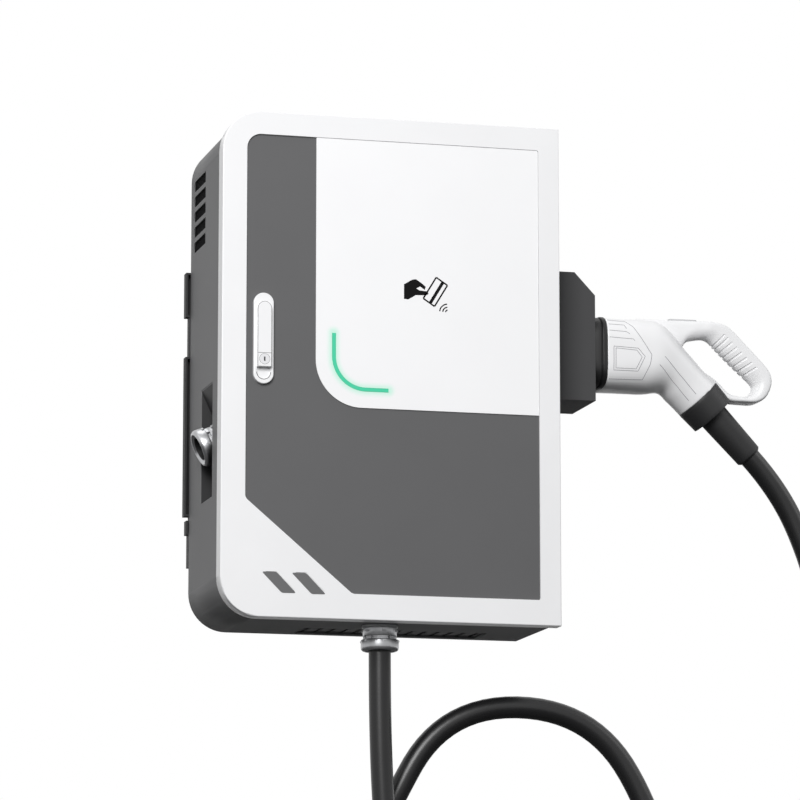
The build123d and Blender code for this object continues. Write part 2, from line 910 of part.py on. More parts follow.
def gun_nose():
    """Black plug: a round flange outside the holster and a hollow nose inside it."""
    flange_start = holster_face + 0.6
    flange_end = holster_face + flange_length
    nose = rod_x(barrel_radius, (flange_start, flange_end), barrel_y, barrel_z)
    rims = nose.edges().filter_by(GeomType.CIRCLE)
    nose = fillet(rims, 3)
    plane = Plane(origin=(flange_start - nose_length, barrel_y, barrel_z), x_dir=(0, 1, 0), z_dir=(1, 0, 0))
    nose += extrude(plane * nose_outline(0), amount=nose_length + 5)
    nose -= extrude(plane * nose_outline(-3), amount=nose_length - 15)
    return nose


def gun_contacts():
    """Contact pins inside the plug's nose: five small ones above two large ones."""
    x0 = holster_face + 0.6 - nose_length + 4
    x1 = holster_face + 0.6 - 15
    pins = [rod_x(5, (x0, x1), barrel_y + y, barrel_z - 24) for y in (-13, 13)]
    for angle in range(5):
        a = math.radians(angle * 72 + 90)
        pins.append(rod_x(2.5, (x0, x1), barrel_y + 13 * math.cos(a), barrel_z + 18 + 13 * math.sin(a)))
    return group(*pins)


def gun_collar_nut():
    """Black collar nut at the end of the cable limb."""
    profile = Polygon(
        (0, 0), (limb_radius, 0), (limb_radius, 4), (limb_radius - 1.5, collar_length), (0, collar_length), align=None
    )
    nut = limb_place(0) * revolve(Plane.XZ * profile, Axis.Z)
    return nut


def cable_boot():
    """Tapered rubber boot between the collar nut and the cable."""
    profile = Polygon(
        (0, 0), (boot_radius_big, 0), (boot_radius_small, boot_length - 3), (cable_radius + 1, boot_length), (0, boot_length), align=None
    )
    return limb_place(collar_length) * revolve(Plane.XZ * profile, Axis.Z)


def holster_block():
    """Moulded holster on the housing's right side, its top outer corner cut off, with the plug's socket."""
    x0 = right - housing_inset
    z0 = bottom + holster_low
    z1 = bottom + holster_high
    shape = outline(
        [
            (x0, z0, 0),
            (holster_face, z0, 0),
            (holster_face, z1 - holster_slant_z, 0),
            (holster_face - holster_slant_x, z1, 0),
            (x0, z1, 0),
        ]
    )
    y = (front + holster_front, front + holster_front + holster_depth)
    body = plate(shape, y)
    plane = Plane(origin=(holster_face - socket_depth, barrel_y, barrel_z), x_dir=(0, 1, 0), z_dir=(1, 0, 0))
    return body - extrude(plane * nose_outline(1.5), amount=socket_depth)


def bracket_outline():
    """Bracket outline seen from the front, with stepped sides and cut-outs."""
    x0 = left + housing_inset - bracket_over
    x1 = right - housing_inset + bracket_over
    z0 = bottom + bracket_low
    z1 = bottom + bracket_high
    shape = rect((x0, x1), (z0, z1))
    steps = [(393.0, 450.0, 5.2), (160.0, 166.0, 8.0), (140.0, 160.0, 2.9), (94.0, 140.0, 6.2)]
    for low, high, inset in steps:
        shape -= rect((x0, x0 + inset), (bottom + low, bottom + high))
        shape -= rect((x1 - inset, x1), (bottom + low, bottom + high))
    return shape


def wall_bracket():
    """Folded wall bracket: a back plate with wide openings, side flanges and two upturned hooks."""
    shape = bracket_outline()
    x = bolt_spacing_x / 2
    z = bolt_spacing_z / 2
    holes = [Pos(i * x, j * z) * Circle(bolt_hole_radius) for i in (-1, 1) for j in (-1, 1)]
    for centre in (-95, 95):
        shape -= rect((centre - 70, centre + 70), (-130, 130))
    bracket = plate(shape - holes, (-bracket_sheet, 0))
    ring = shape - offset(shape, -bracket_sheet)
    x0 = left + housing_inset - bracket_over
    x1 = -x0
    for span in ((x0, x0 + 20), (x1 - 20, x1)):
        side = ring & rect(span, (bottom + bracket_low, bottom + bracket_high))
        bracket += plate(side, (back + sheet_gap, -bracket_sheet))
    lip_back = -bracket_sheet - cleat_channel
    for z in cleat_levels:
        floor = block((-cleat_half, cleat_half), (lip_back - cleat_sheet, -bracket_sheet), (z, z + cleat_sheet))
        upright = block((-cleat_half, cleat_half), (lip_back - cleat_sheet, lip_back), (z, z + cleat_height))
        bracket += floor + upright
    return bracket


def hanging_rails():
    """Two cleats on the housing's back, each with a lip that drops into the bracket's channel."""
    rails = []
    half = cleat_half - 5
    lip_y = (-bracket_sheet - cleat_channel + sheet_gap, -bracket_sheet - sheet_gap)
    for level in cleat_levels:
        z = level + cleat_height
        web = block((-half, half), (back, lip_y[1]), (z, z + cleat_sheet + 1))
        rails.append(web + block((-half, half), lip_y, (level + cleat_sheet + 2, z)))
    return group(*rails)


def power_module():
    """Power module: a sheet case, open at its lower end for two fans, with outlet slots on top."""
    x = (grille_x - module_width / 2, grille_x + module_width / 2)
    y = (module_front, back_inner)
    z = (bottom + module_low, bottom + module_low + module_height)
    case = block(x, y, z)
    t = module_sheet
    case -= block((x[0] + t, x[1] - t), (y[0] + t, y[1] - t), (z[0], z[0] + fan_depth + 12))
    for index in range(8):
        centre = grille_x + (index - 3.5) * 34
        case -= block((centre - 11, centre + 11), (y[0] + 12, y[1] - 12), (z[1] - 8, z[1]))
    return case


def fan_centre(side):
    return grille_x + side * fan_spread, (module_front + back_inner) / 2


def fan_frames():
    """Square frames of the two module fans, each with a boss on four arms."""
    frames = []
    z0 = bottom + module_low
    for side in (-1, 1):
        x, y = fan_centre(side)
        half = fan_size / 2
        depth_half = (module_depth - 2 * module_sheet) / 2
        frame = block((x - half, x + half), (y - depth_half, y + depth_half), (z0, z0 + fan_depth))
        frame -= rod_z(fan_bore, x, y, (z0, z0 + fan_depth))
        arms = block((x - half + 1, x + half - 1), (y - 2, y + 2), (z0 + fan_depth - 4, z0 + fan_depth))
        arms += block((x - 2, x + 2), (y - half + 1, y + half - 1), (z0 + fan_depth - 4, z0 + fan_depth))
        arms += rod_z(12, x, y, (z0 + fan_depth - 4, z0 + fan_depth))
        arms -= rod_z(2 + running_gap, x, y, (z0 + fan_depth - 4, z0 + fan_depth))
        frames.append(frame + arms)
    return group(*frames)


def fan_rotor(side):
    """Fan rotor: a hub on a short shaft, with pitched blades."""
    x, y = fan_centre(side)
    z0 = bottom + module_low
    low = z0 + 4
    high = z0 + fan_depth - 4 - sheet_gap
    rotor = rod_z(13, x, y, (low, high)) + rod_z(2, x, y, (high, high + 4))
    middle = (low + high) / 2
    for index in range(fan_blades):
        turn = Rot(0, 0, index * 360 / fan_blades)
        blade = Pos(22.5, 0, 0) * Rot(38 * side, 0, 0) * Box(23, 18, 1.6)
        rotor += Pos(x, y, middle) * turn * blade
    return rotor


def chassis_span():
    return (chassis_x - chassis_width / 2, chassis_x + chassis_width / 2)


def chassis_plate():
    """Chassis plate that carries the switchgear in front of the power module."""
    return block(chassis_span(), (chassis_face, chassis_back), (bottom + chassis_low, bottom + chassis_high))


def pillar_places():
    return [(chassis_x + side * pillar_spread, z) for side in (-1, 1) for z in (bottom + 72, bottom + 628)]


def chassis_pillars():
    """Pillars from the housing's back to the chassis plate, beside the power module."""
    return group(*[rod_y(pillar_radius, x, (chassis_back, back_inner), z) for x, z in pillar_places()])


def din_rail():
    """Top-hat rail across the chassis."""
    z = bottom + rail_z
    half = rail_height / 2
    t = rail_sheet
    web = half - 5
    profile = Polygon(
        (chassis_face, z - web),
        (chassis_face, z + web),
        (rail_face + t, z + web),
        (rail_face + t, z + half),
        (rail_face, z + half),
        (rail_face, z + web - t),
        (chassis_face - t, z + web - t),
        (chassis_face - t, z - web + t),
        (rail_face, z - web + t),
        (rail_face, z - half),
        (rail_face + t, z - half),
        (rail_face + t, z - web),
        align=None,
    )
    x = chassis_span()
    return side_plate(profile, (x[0] + 4, x[1] - 4))


def stepped_case(x, z, height, step_height, depth, step):
    """Rail-mounted case with a narrower raised front."""
    case = block(x, (rail_face - depth, rail_face), (z - height / 2, z + height / 2))
    return case + block(x, (rail_face - depth - step, rail_face - depth), (z - step_height / 2, z + step_height / 2))


def aux_supply():
    """Auxiliary supply for the control circuits."""
    z = bottom + rail_z
    return block((-136, -88), (rail_face - 60, rail_face), (z - 50, z + 50))


def control_breaker():
    """Two-pole breaker of the control circuits, with a slot for its toggle."""
    z = bottom + rail_z
    case = stepped_case((-82, -46), z, 82, 45, 44, 14)
    case -= block((-75, -53), (rail_face - 58, rail_face - 46), (z - 12, z + 12))
    return case - rod_x(toggle_axle + running_gap, (-79, -49), rail_face - 52, z)


def toggle(x, axis_y, axis_z, width, radius, reach, bar):
    """Breaker toggle: a drum on a cross axle with a finger bar, tipped up."""
    drum = rod_x(radius, (x - width / 2, x + width / 2), axis_y, axis_z)
    drum += rod_x(toggle_axle, (x - width / 2 - 3, x + width / 2 + 3), axis_y, axis_z)
    arm = Pos(x, axis_y, axis_z) * Rot(-25, 0, 0) * Pos(0, -reach / 2, 0) * Box(width, reach, bar)
    return drum + arm


def control_breaker_toggle():
    z = bottom + rail_z
    return toggle(-64, rail_face - 52, z, 21, 5.5, 16, 4)


def surge_protector():
    """Surge protector with four plug-in cartridges."""
    z = bottom + rail_z
    case = block((-40, 32), (rail_face - 44, rail_face), (z - 45, z + 45))
    for index in range(4):
        x0 = -40 + index * 18
        case += block((x0 + 1, x0 + 17), (rail_face - 64, rail_face - 44), (z - 24, z + 24))
    return case


def insulation_monitor():
    """Insulation monitor."""
    return stepped_case((38, 92), bottom + rail_z, 90, 46, 46, 12)


def energy_meter():
    """Direct-current energy meter."""
    return stepped_case((98, 170), bottom + rail_z, 100, 52, 50, 14)


def main_breaker():
    """Moulded main breaker on the chassis, with a slot for its toggle."""
    z = bottom + 410
    case = block((-136, -46), (chassis_face - 60, chassis_face), (z - 65, z + 65))
    case += block((-132, -50), (chassis_face - 72, chassis_face - 60), (z - 38, z + 38))
    case -= block((-105, -77), (chassis_face - 72, chassis_face - 54), (z - 24, z + 24))
    return case - rod_x(toggle_axle + running_gap, (-108, -74), chassis_face - 64, z)


def main_breaker_toggle():
    z = bottom + 410
    return toggle(-91, chassis_face - 64, z, 26, 8.5, 28, 9)


def ac_contactor():
    """Three-pole contactor."""
    z = bottom + 410
    case = block((-32, 44), (chassis_face - 52, chassis_face), (z - 45, z + 45))
    return case + block((-26, 38), (chassis_face - 82, chassis_face - 52), (z - 30, z + 30))


def dc_contactors():
    """Two sealed direct-current contactors."""
    z = bottom + 418
    return group(*[block((x - 25, x + 25), (chassis_face - 62, chassis_face), (z - 34, z + 34)) for x in (85, 150)])


def dc_fuses():
    """Two square-bodied fuses on their bases."""
    z = bottom + 315
    fuses = []
    for x in (85, 150):
        base = block((x - 22, x + 22), (chassis_face - 20, chassis_face), (z - 45, z + 45))
        fuses.append(base + block((x - 16, x + 16), (chassis_face - 52, chassis_face - 20), (z - 26, z + 26)))
    return group(*fuses)


def dc_busbars():
    """Copper bars from each contactor, over its fuse, down to the leads."""
    bars = []
    for x in (85, 150):
        high = bottom + 418 - 34
        low = bottom + 315 - 45
        y = chassis_face - 20
        upper = block((x - 10, x + 10), (y - 4, y), (bottom + 315 + 27, bottom + 315 + 45))
        upper += block((x - 10, x + 10), (y - 4, y), (bottom + 315 + 45, high))
        lower = block((x - 10, x + 10), (y - 4, y), (low - 22, bottom + 315 - 27))
        bars += [upper, lower]
    return group(*bars)


def terminal_block():
    """Row of supply terminals."""
    z = bottom + 275
    case = block((-136, -28), (chassis_face - 38, chassis_face), (z - 26, z + 26))
    for index in range(5):
        centre = -136 + 10.8 + index * 21.6
        case -= block((centre - 7, centre + 7), (chassis_face - 38, chassis_face - 20), (z - 26, z - 8))
    return case


def earth_bar():
    """Brass earth bar on two feet."""
    z = bottom + 180
    bar = block((-130, -30), (chassis_face - 22, chassis_face - 16), (z - 6, z + 6))
    feet = [rod_y(5, x, (chassis_face - 16, chassis_face), z) for x in (-122, -38)]
    bar += feet
    for index in range(6):
        bar -= rod_y(2.6, -108 + index * 11.2, (chassis_face - 22, chassis_face - 16), z)
    return bar


def control_board():
    """Main control board on short feet, with its tallest parts."""
    z = (bottom + 72, bottom + 212)
    y = chassis_face - 10
    board = block((72, 208), (y - 2, y), z)
    for x in (78, 202):
        for height in (z[0] + 6, z[1] - 6):
            board += rod_y(3, x, (y, chassis_face), height)
    for x, w, height, h, deep in ((92, 22, 88, 30, 14), (122, 22, 88, 30, 14), (175, 44, 100, 44, 6), (140, 120, 200, 10, 11)):
        board += block((x - w / 2, x + w / 2), (y - 2 - deep, y - 2), (bottom + height - h / 2, bottom + height + h / 2))
    return board


def output_leads():
    """Two insulated leads from the cable's tail to the busbars."""
    x0 = left + output_gland_x
    y0 = front + output_gland_y
    z0 = bottom + foot_inner + 26
    leads = []
    for side, x in ((-1, 85), (1, 150)):
        points = [
            (x0 + side * 7, y0, z0),
            (x0 + side * 7, y0, bottom + 120 + side * -16),
            (x, chassis_face - 30.1, bottom + 222 + side * -16),
            (x, chassis_face - 30.1, bottom + 268),
        ]
        path = FilletPolyline(*points, radius=28)
        leads.append(sweep(Plane(origin=path @ 0, z_dir=path % 0) * Circle(6), path=path))
    return group(*leads)


nodes = {
    "wall_bracket": wall_bracket,
    "rear_housing": rear_housing,
    "hanging_rails": hanging_rails,
    "bottom_grille": bottom_grille,
    "vent_filters": vent_filters,
    "power_module": power_module,
    "fan_frames": fan_frames,
    "fan_rotor_left": lambda: fan_rotor(-1),
    "fan_rotor_right": lambda: fan_rotor(1),
    "chassis_plate": chassis_plate,
    "chassis_pillars": chassis_pillars,
    "din_rail": din_rail,
    "aux_supply": aux_supply,
    "control_breaker": control_breaker,
    "control_breaker_toggle": control_breaker_toggle,
    "surge_protector": surge_protector,
    "insulation_monitor": insulation_monitor,
    "energy_meter": energy_meter,
    "main_breaker": main_breaker,
    "main_breaker_toggle": main_breaker_toggle,
    "ac_contactor": ac_contactor,
    "dc_contactors": dc_contactors,
    "dc_fuses": dc_fuses,
    "dc_busbars": dc_busbars,
    "terminal_block": terminal_block,
    "earth_bar": earth_bar,
    "control_board": control_board,
    "gland_bodies": lambda: gland_pair(gland_body),
    "gland_nuts": gland_nuts,
    "gland_locknuts": lambda: gland_pair(gland_locknut),
    "gland_seals": gland_seals,
    "cable_tail": cable_tail,
    "output_leads": output_leads,
    "charging_cable": charging_cable,
    "cable_boot": cable_boot,
    "gun_collar_nut": gun_collar_nut,
    "gun_shell_front": lambda: gun_half(-1),
    "gun_shell_rear": lambda: gun_half(1),
    "gun_nose": gun_nose,
    "gun_contacts": gun_contacts,
    "gun_button": gun_button,
    "holster_block": holster_block,
    "housing_hinges": housing_hinges,
    "hinge_pins": hinge_pins,
    "door_frame": door_frame,
    "grey_panel": grey_panel,
    "white_panel": white_panel,
    "light_guide": light_guide,
    "light_board": light_board,
    "slanted_inlays": inlays,
    "card_reader": card_reader,
    "door_gasket": door_gasket,
    "door_hinges": door_hinges,
    "handle_base": handle_base,
    "handle_clamp": handle_clamp,
    "handle_spindle": handle_spindle,
    "lever_pin": lever_pin,
    "handle_lever": handle_lever,
    "lock_barrel": lock_barrel,
    "latch_cam": latch_cam,
}

os.makedirs("parts", exist_ok=True)
for name, make in nodes.items():
    export_step(make(), f"parts/{name}.step")
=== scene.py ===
# %% [markdown]
# # A wall-hung charging box for electric cars
# The CAD model gives every piece its size and place. This file dresses it: it sets the camera, lays the
# cable, gives each piece the finish of the real material and adds the small forms that catch the light.

import math
import bmesh
import bpy
from mathutils import Matrix, Vector
from mathutils.bvhtree import BVHTree


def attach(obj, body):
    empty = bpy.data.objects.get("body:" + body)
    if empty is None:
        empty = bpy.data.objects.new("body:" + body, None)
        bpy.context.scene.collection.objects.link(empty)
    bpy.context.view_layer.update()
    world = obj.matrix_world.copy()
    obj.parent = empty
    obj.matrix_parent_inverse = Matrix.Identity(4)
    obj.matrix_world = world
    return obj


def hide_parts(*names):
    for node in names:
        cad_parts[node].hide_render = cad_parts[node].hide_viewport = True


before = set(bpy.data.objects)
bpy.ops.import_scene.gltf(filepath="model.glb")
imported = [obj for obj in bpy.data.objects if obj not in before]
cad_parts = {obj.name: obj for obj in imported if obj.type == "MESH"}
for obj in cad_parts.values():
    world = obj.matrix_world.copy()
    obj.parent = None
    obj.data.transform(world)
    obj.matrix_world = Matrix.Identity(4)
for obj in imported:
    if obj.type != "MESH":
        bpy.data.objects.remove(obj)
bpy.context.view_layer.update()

# %% [markdown]
# ## The camera
# The box is seen from its left and from a little below, through a long lens, so that the upright edges stay
# nearly parallel. A camera can be placed by hand, but here it goes by two angles and a distance about a
# point on the door, because those three numbers are easy to read and to correct.

# %% Camera
LOOK_AT = Vector((0.0105, -0.235, 0.0))
AZIMUTH = math.radians(-14.5374)
ELEVATION = math.radians(-9.9425)
DISTANCE = 5.9411

backwards = Vector((
    math.sin(AZIMUTH) * math.cos(ELEVATION),
    -math.cos(AZIMUTH) * math.cos(ELEVATION),
    math.sin(ELEVATION),
))
camera = bpy.data.objects.new("camera", bpy.data.cameras.new("camera"))
camera.data.lens = 194.9
camera.data.sensor_width = 36.0
camera.location = LOOK_AT + backwards * DISTANCE
camera.rotation_euler = (-backwards).to_track_quat("-Z", "Y").to_euler()
bpy.context.scene.collection.objects.link(camera)
bpy.context.scene.camera = camera
print("camera at", [round(v, 3) for v in camera.location])

# %% [markdown]
# ## The charging cable
# A thick cable leaves the gland at the foot of the box, hangs in one loop and rises to the gun. It could be
# swept in CAD, but a NURBS curve with a round bevel gives the smooth, heavy bends of a real cable from a
# few control points.

# %% Lay the cable
CABLE_DIAMETER = 31.0
CABLE_POINTS = [
    (5, -145, -337),
    (5, -145, -520),
    (28, -144, -700),
    (100, -141, -850),
    (285, -134, -892),
    (424, -126, -765),
    (421, -118, -577),
    (320, -112, -406),
    (109, -106, -404),
    (12, -98, -580),
    (-52, -91, -755),
    (-8, -85, -935),
    (148, -82, -1045),
    (352, -84, -1048),
    (532, -92, -944),
    (638, -100, -770),
    (684, -105, -585),
    (694, -107, -420),
    (674, -108, -285),
    (645, -108, -172),
    (601.0, -108, -81.0),
    (559.7, -108, -37.5),
]


def smooth_tube(name, points, radius):
    """Round tube that bends smoothly along points given in millimetres."""
    # Blender widens a curve's box by its points' radius, so the size goes there and not in the bevel.
    data = bpy.data.curves.new(name, "CURVE")
    data.dimensions = "3D"
    data.bevel_depth = 1.0
    data.bevel_resolution = 6
    data.use_fill_caps = True
    spline = data.splines.new("NURBS")
    spline.points.add(len(points) - 1)
    for point, (x, y, z) in zip(spline.points, points):
        point.co = (x / 1000, y / 1000, z / 1000, 1)
        point.radius = radius / 1000
    spline.order_u = 3
    spline.use_endpoint_u = True
    spline.resolution_u = 12
    obj = bpy.data.objects.new(name, data)
    bpy.context.scene.collection.objects.link(obj)
    return obj


cable = smooth_tube("cable_sheath", CABLE_POINTS, CABLE_DIAMETER / 2)
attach(cable, "cabinet")
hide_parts("charging_cable")

# %% [markdown]
# ## Finishes
# Most of this box is painted steel and moulded plastic. Neither is one flat colour: paint has a faint
# orange peel, moulded plastic a fine spark texture, and both change a little from place to place. Image
# textures could show that, but noise in the object's own millimetres keeps its scale on every piece, so one
# short recipe with a few numbers serves them all.

# %% The recipe for a finish


def colour(code):
    """Linear colour from a web colour code."""
    parts = [int(code[i : i + 2], 16) / 255 for i in (1, 3, 5)]
    return [c / 12.92 if c <= 0.04045 else ((c + 0.055) / 1.055) ** 2.4 for c in parts] + [1.0]


def scaled(rgba, factor):
    return [min(1.0, c * factor) for c in rgba[:3]] + [1.0]


def add_noise(tree, size_mm, detail, stretch=(1, 1, 1)):
    """Noise in the object's own space, with features of about size_mm."""
    coord = tree.nodes.new("ShaderNodeTexCoord")
    mapping = tree.nodes.new("ShaderNodeMapping")
    mapping.inputs["Scale"].default_value = stretch
    noise = tree.nodes.new("ShaderNodeTexNoise")
    noise.inputs["Scale"].default_value = 1000 / size_mm
    noise.inputs["Detail"].default_value = detail
    tree.links.new(coord.outputs["Object"], mapping.inputs["Vector"])
    tree.links.new(mapping.outputs["Vector"], noise.inputs["Vector"])
    return noise


def add_ramp(tree, source, low, high, start=0.3, end=0.7):
    """Colour ramp between two colours, fed by a noise."""
    ramp = tree.nodes.new("ShaderNodeValToRGB")
    ramp.color_ramp.elements[0].position = start
    ramp.color_ramp.elements[0].color = low
    ramp.color_ramp.elements[1].position = end
    ramp.color_ramp.elements[1].color = high
    tree.links.new(source, ramp.inputs["Fac"])
    return ramp


def make_finish(name, code, rough, grain_mm, grain_depth_mm, metal=0.0, cloud_mm=90, cloud=0.05, coat=0.0,
                stretch=(1, 1, 1), specular=0.5, rough_spread=0.06):
    """Finish with a clouded colour, a fine grain in relief and an uneven gloss."""
    material = bpy.data.materials.new(name)
    material.use_nodes = True
    tree = material.node_tree
    shader = tree.nodes["Principled BSDF"]
    base = colour(code)
    clouds = add_noise(tree, cloud_mm, 3)
    tint = add_ramp(tree, clouds.outputs["Fac"], scaled(base, 1 - cloud), scaled(base, 1 + cloud * 0.7))
    tree.links.new(tint.outputs["Color"], shader.inputs["Base Color"])
    grain = add_noise(tree, grain_mm, 2, stretch)
    gloss = tree.nodes.new("ShaderNodeMapRange")
    gloss.inputs["To Min"].default_value = max(0.03, rough - rough_spread)
    gloss.inputs["To Max"].default_value = min(1.0, rough + rough_spread)
    tree.links.new(clouds.outputs["Fac"], gloss.inputs["Value"])
    tree.links.new(gloss.outputs["Result"], shader.inputs["Roughness"])
    bump = tree.nodes.new("ShaderNodeBump")
    bump.inputs["Strength"].default_value = 0.6
    bump.inputs["Distance"].default_value = grain_depth_mm / 1000
    tree.links.new(grain.outputs["Fac"], bump.inputs["Height"])
    tree.links.new(bump.outputs["Normal"], shader.inputs["Normal"])
    shader.inputs["Metallic"].default_value = metal
    shader.inputs["Specular IOR Level"].default_value = specular
    if coat:
        shader.inputs["Coat Weight"].default_value = coat
        shader.inputs["Coat Roughness"].default_value = 0.12
    return material


# %% Paints and plastics
door_white = make_finish("door_white", "#f1f1f2", 0.42, 1.1, 0.02, cloud=0.012, coat=0.15)
cover_white = make_finish("cover_white", "#f8f8f9", 0.22, 6.0, 0.008, cloud=0.008, coat=0.5)
panel_paint = make_finish("panel_paint", "#5b5b5c", 0.55, 0.9, 0.02, cloud=0.03, specular=0.35)
housing_paint = make_finish("housing_paint", "#6a6a6b", 0.58, 1.3, 0.05, cloud=0.05, specular=0.35)
bracket_paint = make_finish("bracket_paint", "#222223", 0.6, 1.3, 0.05, cloud=0.05, specular=0.3)
holster_moulding = make_finish("holster_moulding", "#404041", 0.6, 0.8, 0.06, cloud=0.04, specular=0.3)
gun_white = make_finish("gun_white", "#f5f5f6", 0.36, 0.9, 0.015, cloud=0.012, coat=0.12)
gun_grey = make_finish("gun_grey", "#c6c6c8", 0.6, 0.8, 0.04)
groove_shade = make_finish("groove_shade", "#8c8c90", 0.8, 0.8, 0.02)
black_moulding = make_finish("black_moulding", "#1c1c1d", 0.45, 0.7, 0.04, cloud=0.08, specular=0.4)
flange_black = make_finish("flange_black", "#161617", 0.36, 0.8, 0.03, cloud=0.08, specular=0.4)
collar_black = make_finish("collar_black", "#272728", 0.5, 0.7, 0.04, cloud=0.08, specular=0.4)
seam_shade = make_finish("seam_shade", "#333335", 0.8, 0.8, 0.02)
symbol_ink = make_finish("symbol_ink", "#050506", 0.6, 1.0, 0.01, specular=0.1)
soft_rubber = make_finish("soft_rubber", "#232324", 0.55, 0.9, 0.06, cloud=0.1, specular=0.35)
sheath_rubber = make_finish("sheath_rubber", "#19191a", 0.34, 1.6, 0.04, cloud=0.08, specular=0.4)
inlay_grey = make_finish("inlay_grey", "#606061", 0.5, 0.9, 0.02)
handle_white = make_finish("handle_white", "#f3f3f4", 0.3, 1.0, 0.012, cloud=0.01, coat=0.3)
device_grey = make_finish("device_grey", "#cfcfcc", 0.5, 0.9, 0.03)
device_dark = make_finish("device_dark", "#36383a", 0.55, 0.9, 0.04)
terminal_grey = make_finish("terminal_grey", "#9d9f9e", 0.55, 0.9, 0.03)
fuse_ceramic = make_finish("fuse_ceramic", "#ddd6c6", 0.35, 2.5, 0.02)
lead_orange = make_finish("lead_orange", "#d9661b", 0.5, 1.2, 0.03)
filter_felt = make_finish("filter_felt", "#080809", 0.95, 1.4, 0.6, cloud_mm=6, cloud=0.4, specular=0.05)

# %% [markdown]
# Bare metals need a finer hand. Turned nickel and brushed zinc carry scratches in one direction; the nickel's
# noise is stretched along the cut, the zinc's is not. That is cheaper than drawing scratches and holds up close.

# %% Metals
nickel = make_finish("nickel", "#b2b3b5", 0.31, 1.2, 0.02, metal=1.0, cloud_mm=12, cloud=0.1, stretch=(1, 1, 0.15))
zinc = make_finish("zinc", "#b9bcbf", 0.42, 5.0, 0.02, metal=1.0, cloud_mm=16, cloud=0.12)
module_steel = make_finish("module_steel", "#b3b5b8", 0.34, 1.5, 0.02, metal=1.0, cloud_mm=60, cloud=0.06,
                           stretch=(0.06, 1, 1))
pin_steel = make_finish("pin_steel", "#c9c9cb", 0.22, 0.8, 0.01, metal=1.0)
lock_satin = make_finish("lock_satin", "#e6e6e8", 0.3, 1.0, 0.01, coat=0.2)
contact_silver = make_finish("contact_silver", "#dcdcd8", 0.16, 0.8, 0.01, metal=1.0)
copper = make_finish("copper", "#c8825c", 0.3, 1.2, 0.01, metal=1.0, stretch=(1, 1, 0.1))
brass = make_finish("brass", "#c9a65a", 0.3, 1.2, 0.01, metal=1.0, stretch=(0.1, 1, 1))
hinge_paint = make_finish("hinge_paint", "#5c5c5d", 0.45, 1.1, 0.03)

# %% [markdown]
# A circuit board is dark green lacquer over copper tracks. The tracks are left to a brick pattern: from the
# distance at which a board is seen here, its regular lines read as tracks.

# %% Circuit board


def make_board_finish():
    material = make_finish("board_green", "#0f4a2a", 0.32, 1.5, 0.02, cloud_mm=10, cloud=0.15, coat=0.4)
    tree = material.node_tree
    shader = tree.nodes["Principled BSDF"]
    coord = tree.nodes.new("ShaderNodeTexCoord")
    turn = tree.nodes.new("ShaderNodeMapping")
    turn.inputs["Rotation"].default_value = (math.radians(90), 0, 0)
    tracks = tree.nodes.new("ShaderNodeTexBrick")
    tracks.inputs["Scale"].default_value = 260
    tracks.inputs["Mortar Size"].default_value = 0.035
    tracks.inputs["Color1"].default_value = colour("#0d4426")
    tracks.inputs["Color2"].default_value = colour("#115330")
    tracks.inputs["Mortar"].default_value = colour("#2f7d4d")
    tree.links.new(coord.outputs["Object"], turn.inputs["Vector"])
    tree.links.new(turn.outputs["Vector"], tracks.inputs["Vector"])
    tree.links.new(tracks.outputs["Color"], shader.inputs["Base Color"])
    return material


board_green = make_board_finish()

# %% [markdown]
# The supply pocket in the housing's left side is painted like the rest, but little light gets in behind the
# gland. A darker colour mixed in there, by place, is painted shade that keeps it as deep as it looks on the wall.

# %% Pocket shade


def paint_shade_inside(material, low, high, code):
    """Mixes a darker colour, as painted shade, into a finish inside a box given in metres."""
    tree = material.node_tree
    shader = tree.nodes["Principled BSDF"]
    old = shader.inputs["Base Color"].links[0].from_socket
    coord = tree.nodes.new("ShaderNodeTexCoord")
    split = tree.nodes.new("ShaderNodeSeparateXYZ")
    tree.links.new(coord.outputs["Object"], split.inputs["Vector"])
    inside = 1.0
    for axis in range(3):
        for operation, limit in (("GREATER_THAN", low[axis]), ("LESS_THAN", high[axis])):
            test = tree.nodes.new("ShaderNodeMath")
            test.operation = operation
            tree.links.new(split.outputs[axis], test.inputs[0])
            test.inputs[1].default_value = limit
            if inside == 1.0:
                inside = test.outputs["Value"]
                continue
            both = tree.nodes.new("ShaderNodeMath")
            both.operation = "MULTIPLY"
            tree.links.new(inside, both.inputs[0])
            tree.links.new(test.outputs["Value"], both.inputs[1])
            inside = both.outputs["Value"]
    blend = tree.nodes.new("ShaderNodeMix")
    blend.data_type = "RGBA"
    tree.links.new(inside, blend.inputs["Factor"])
    tree.links.new(old, blend.inputs[6])
    blend.inputs[7].default_value = colour(code)
    tree.links.new(blend.outputs[2], shader.inputs["Base Color"])


# Painted shade inside the supply pocket, where little light gets in behind the gland.
paint_shade_inside(housing_paint, (-0.2370, -0.1705, -0.1350), (-0.1550, -0.0925, 0.0280), "#262627")

# %% [markdown]
# ## The light strip and its glow
# A green strip turns the lower left corner of the cover. A lamp behind it would light the cover, but a real
# strip is dim in daylight and its halo is mostly light inside the milky plastic. So the strip glows a little
# by itself, and the cover's colour turns mint near it, by the distance to the strip's centre line: that mint
# halo is painted light.

# %% The strip and the cover
STRIP_CORNER = Vector((-0.038, 0.0, 0.0575))
STRIP_RADIUS = 0.045
STRIP_ENDS = (-0.0055, 0.0895)


def math_node(tree, operation, first, second=None):
    node = tree.nodes.new("ShaderNodeMath")
    node.operation = operation
    for socket, value in zip(node.inputs, (first, second)):
        if value is None:
            continue
        if isinstance(value, (int, float)):
            socket.default_value = value
        else:
            tree.links.new(value, socket)
    return node.outputs["Value"]


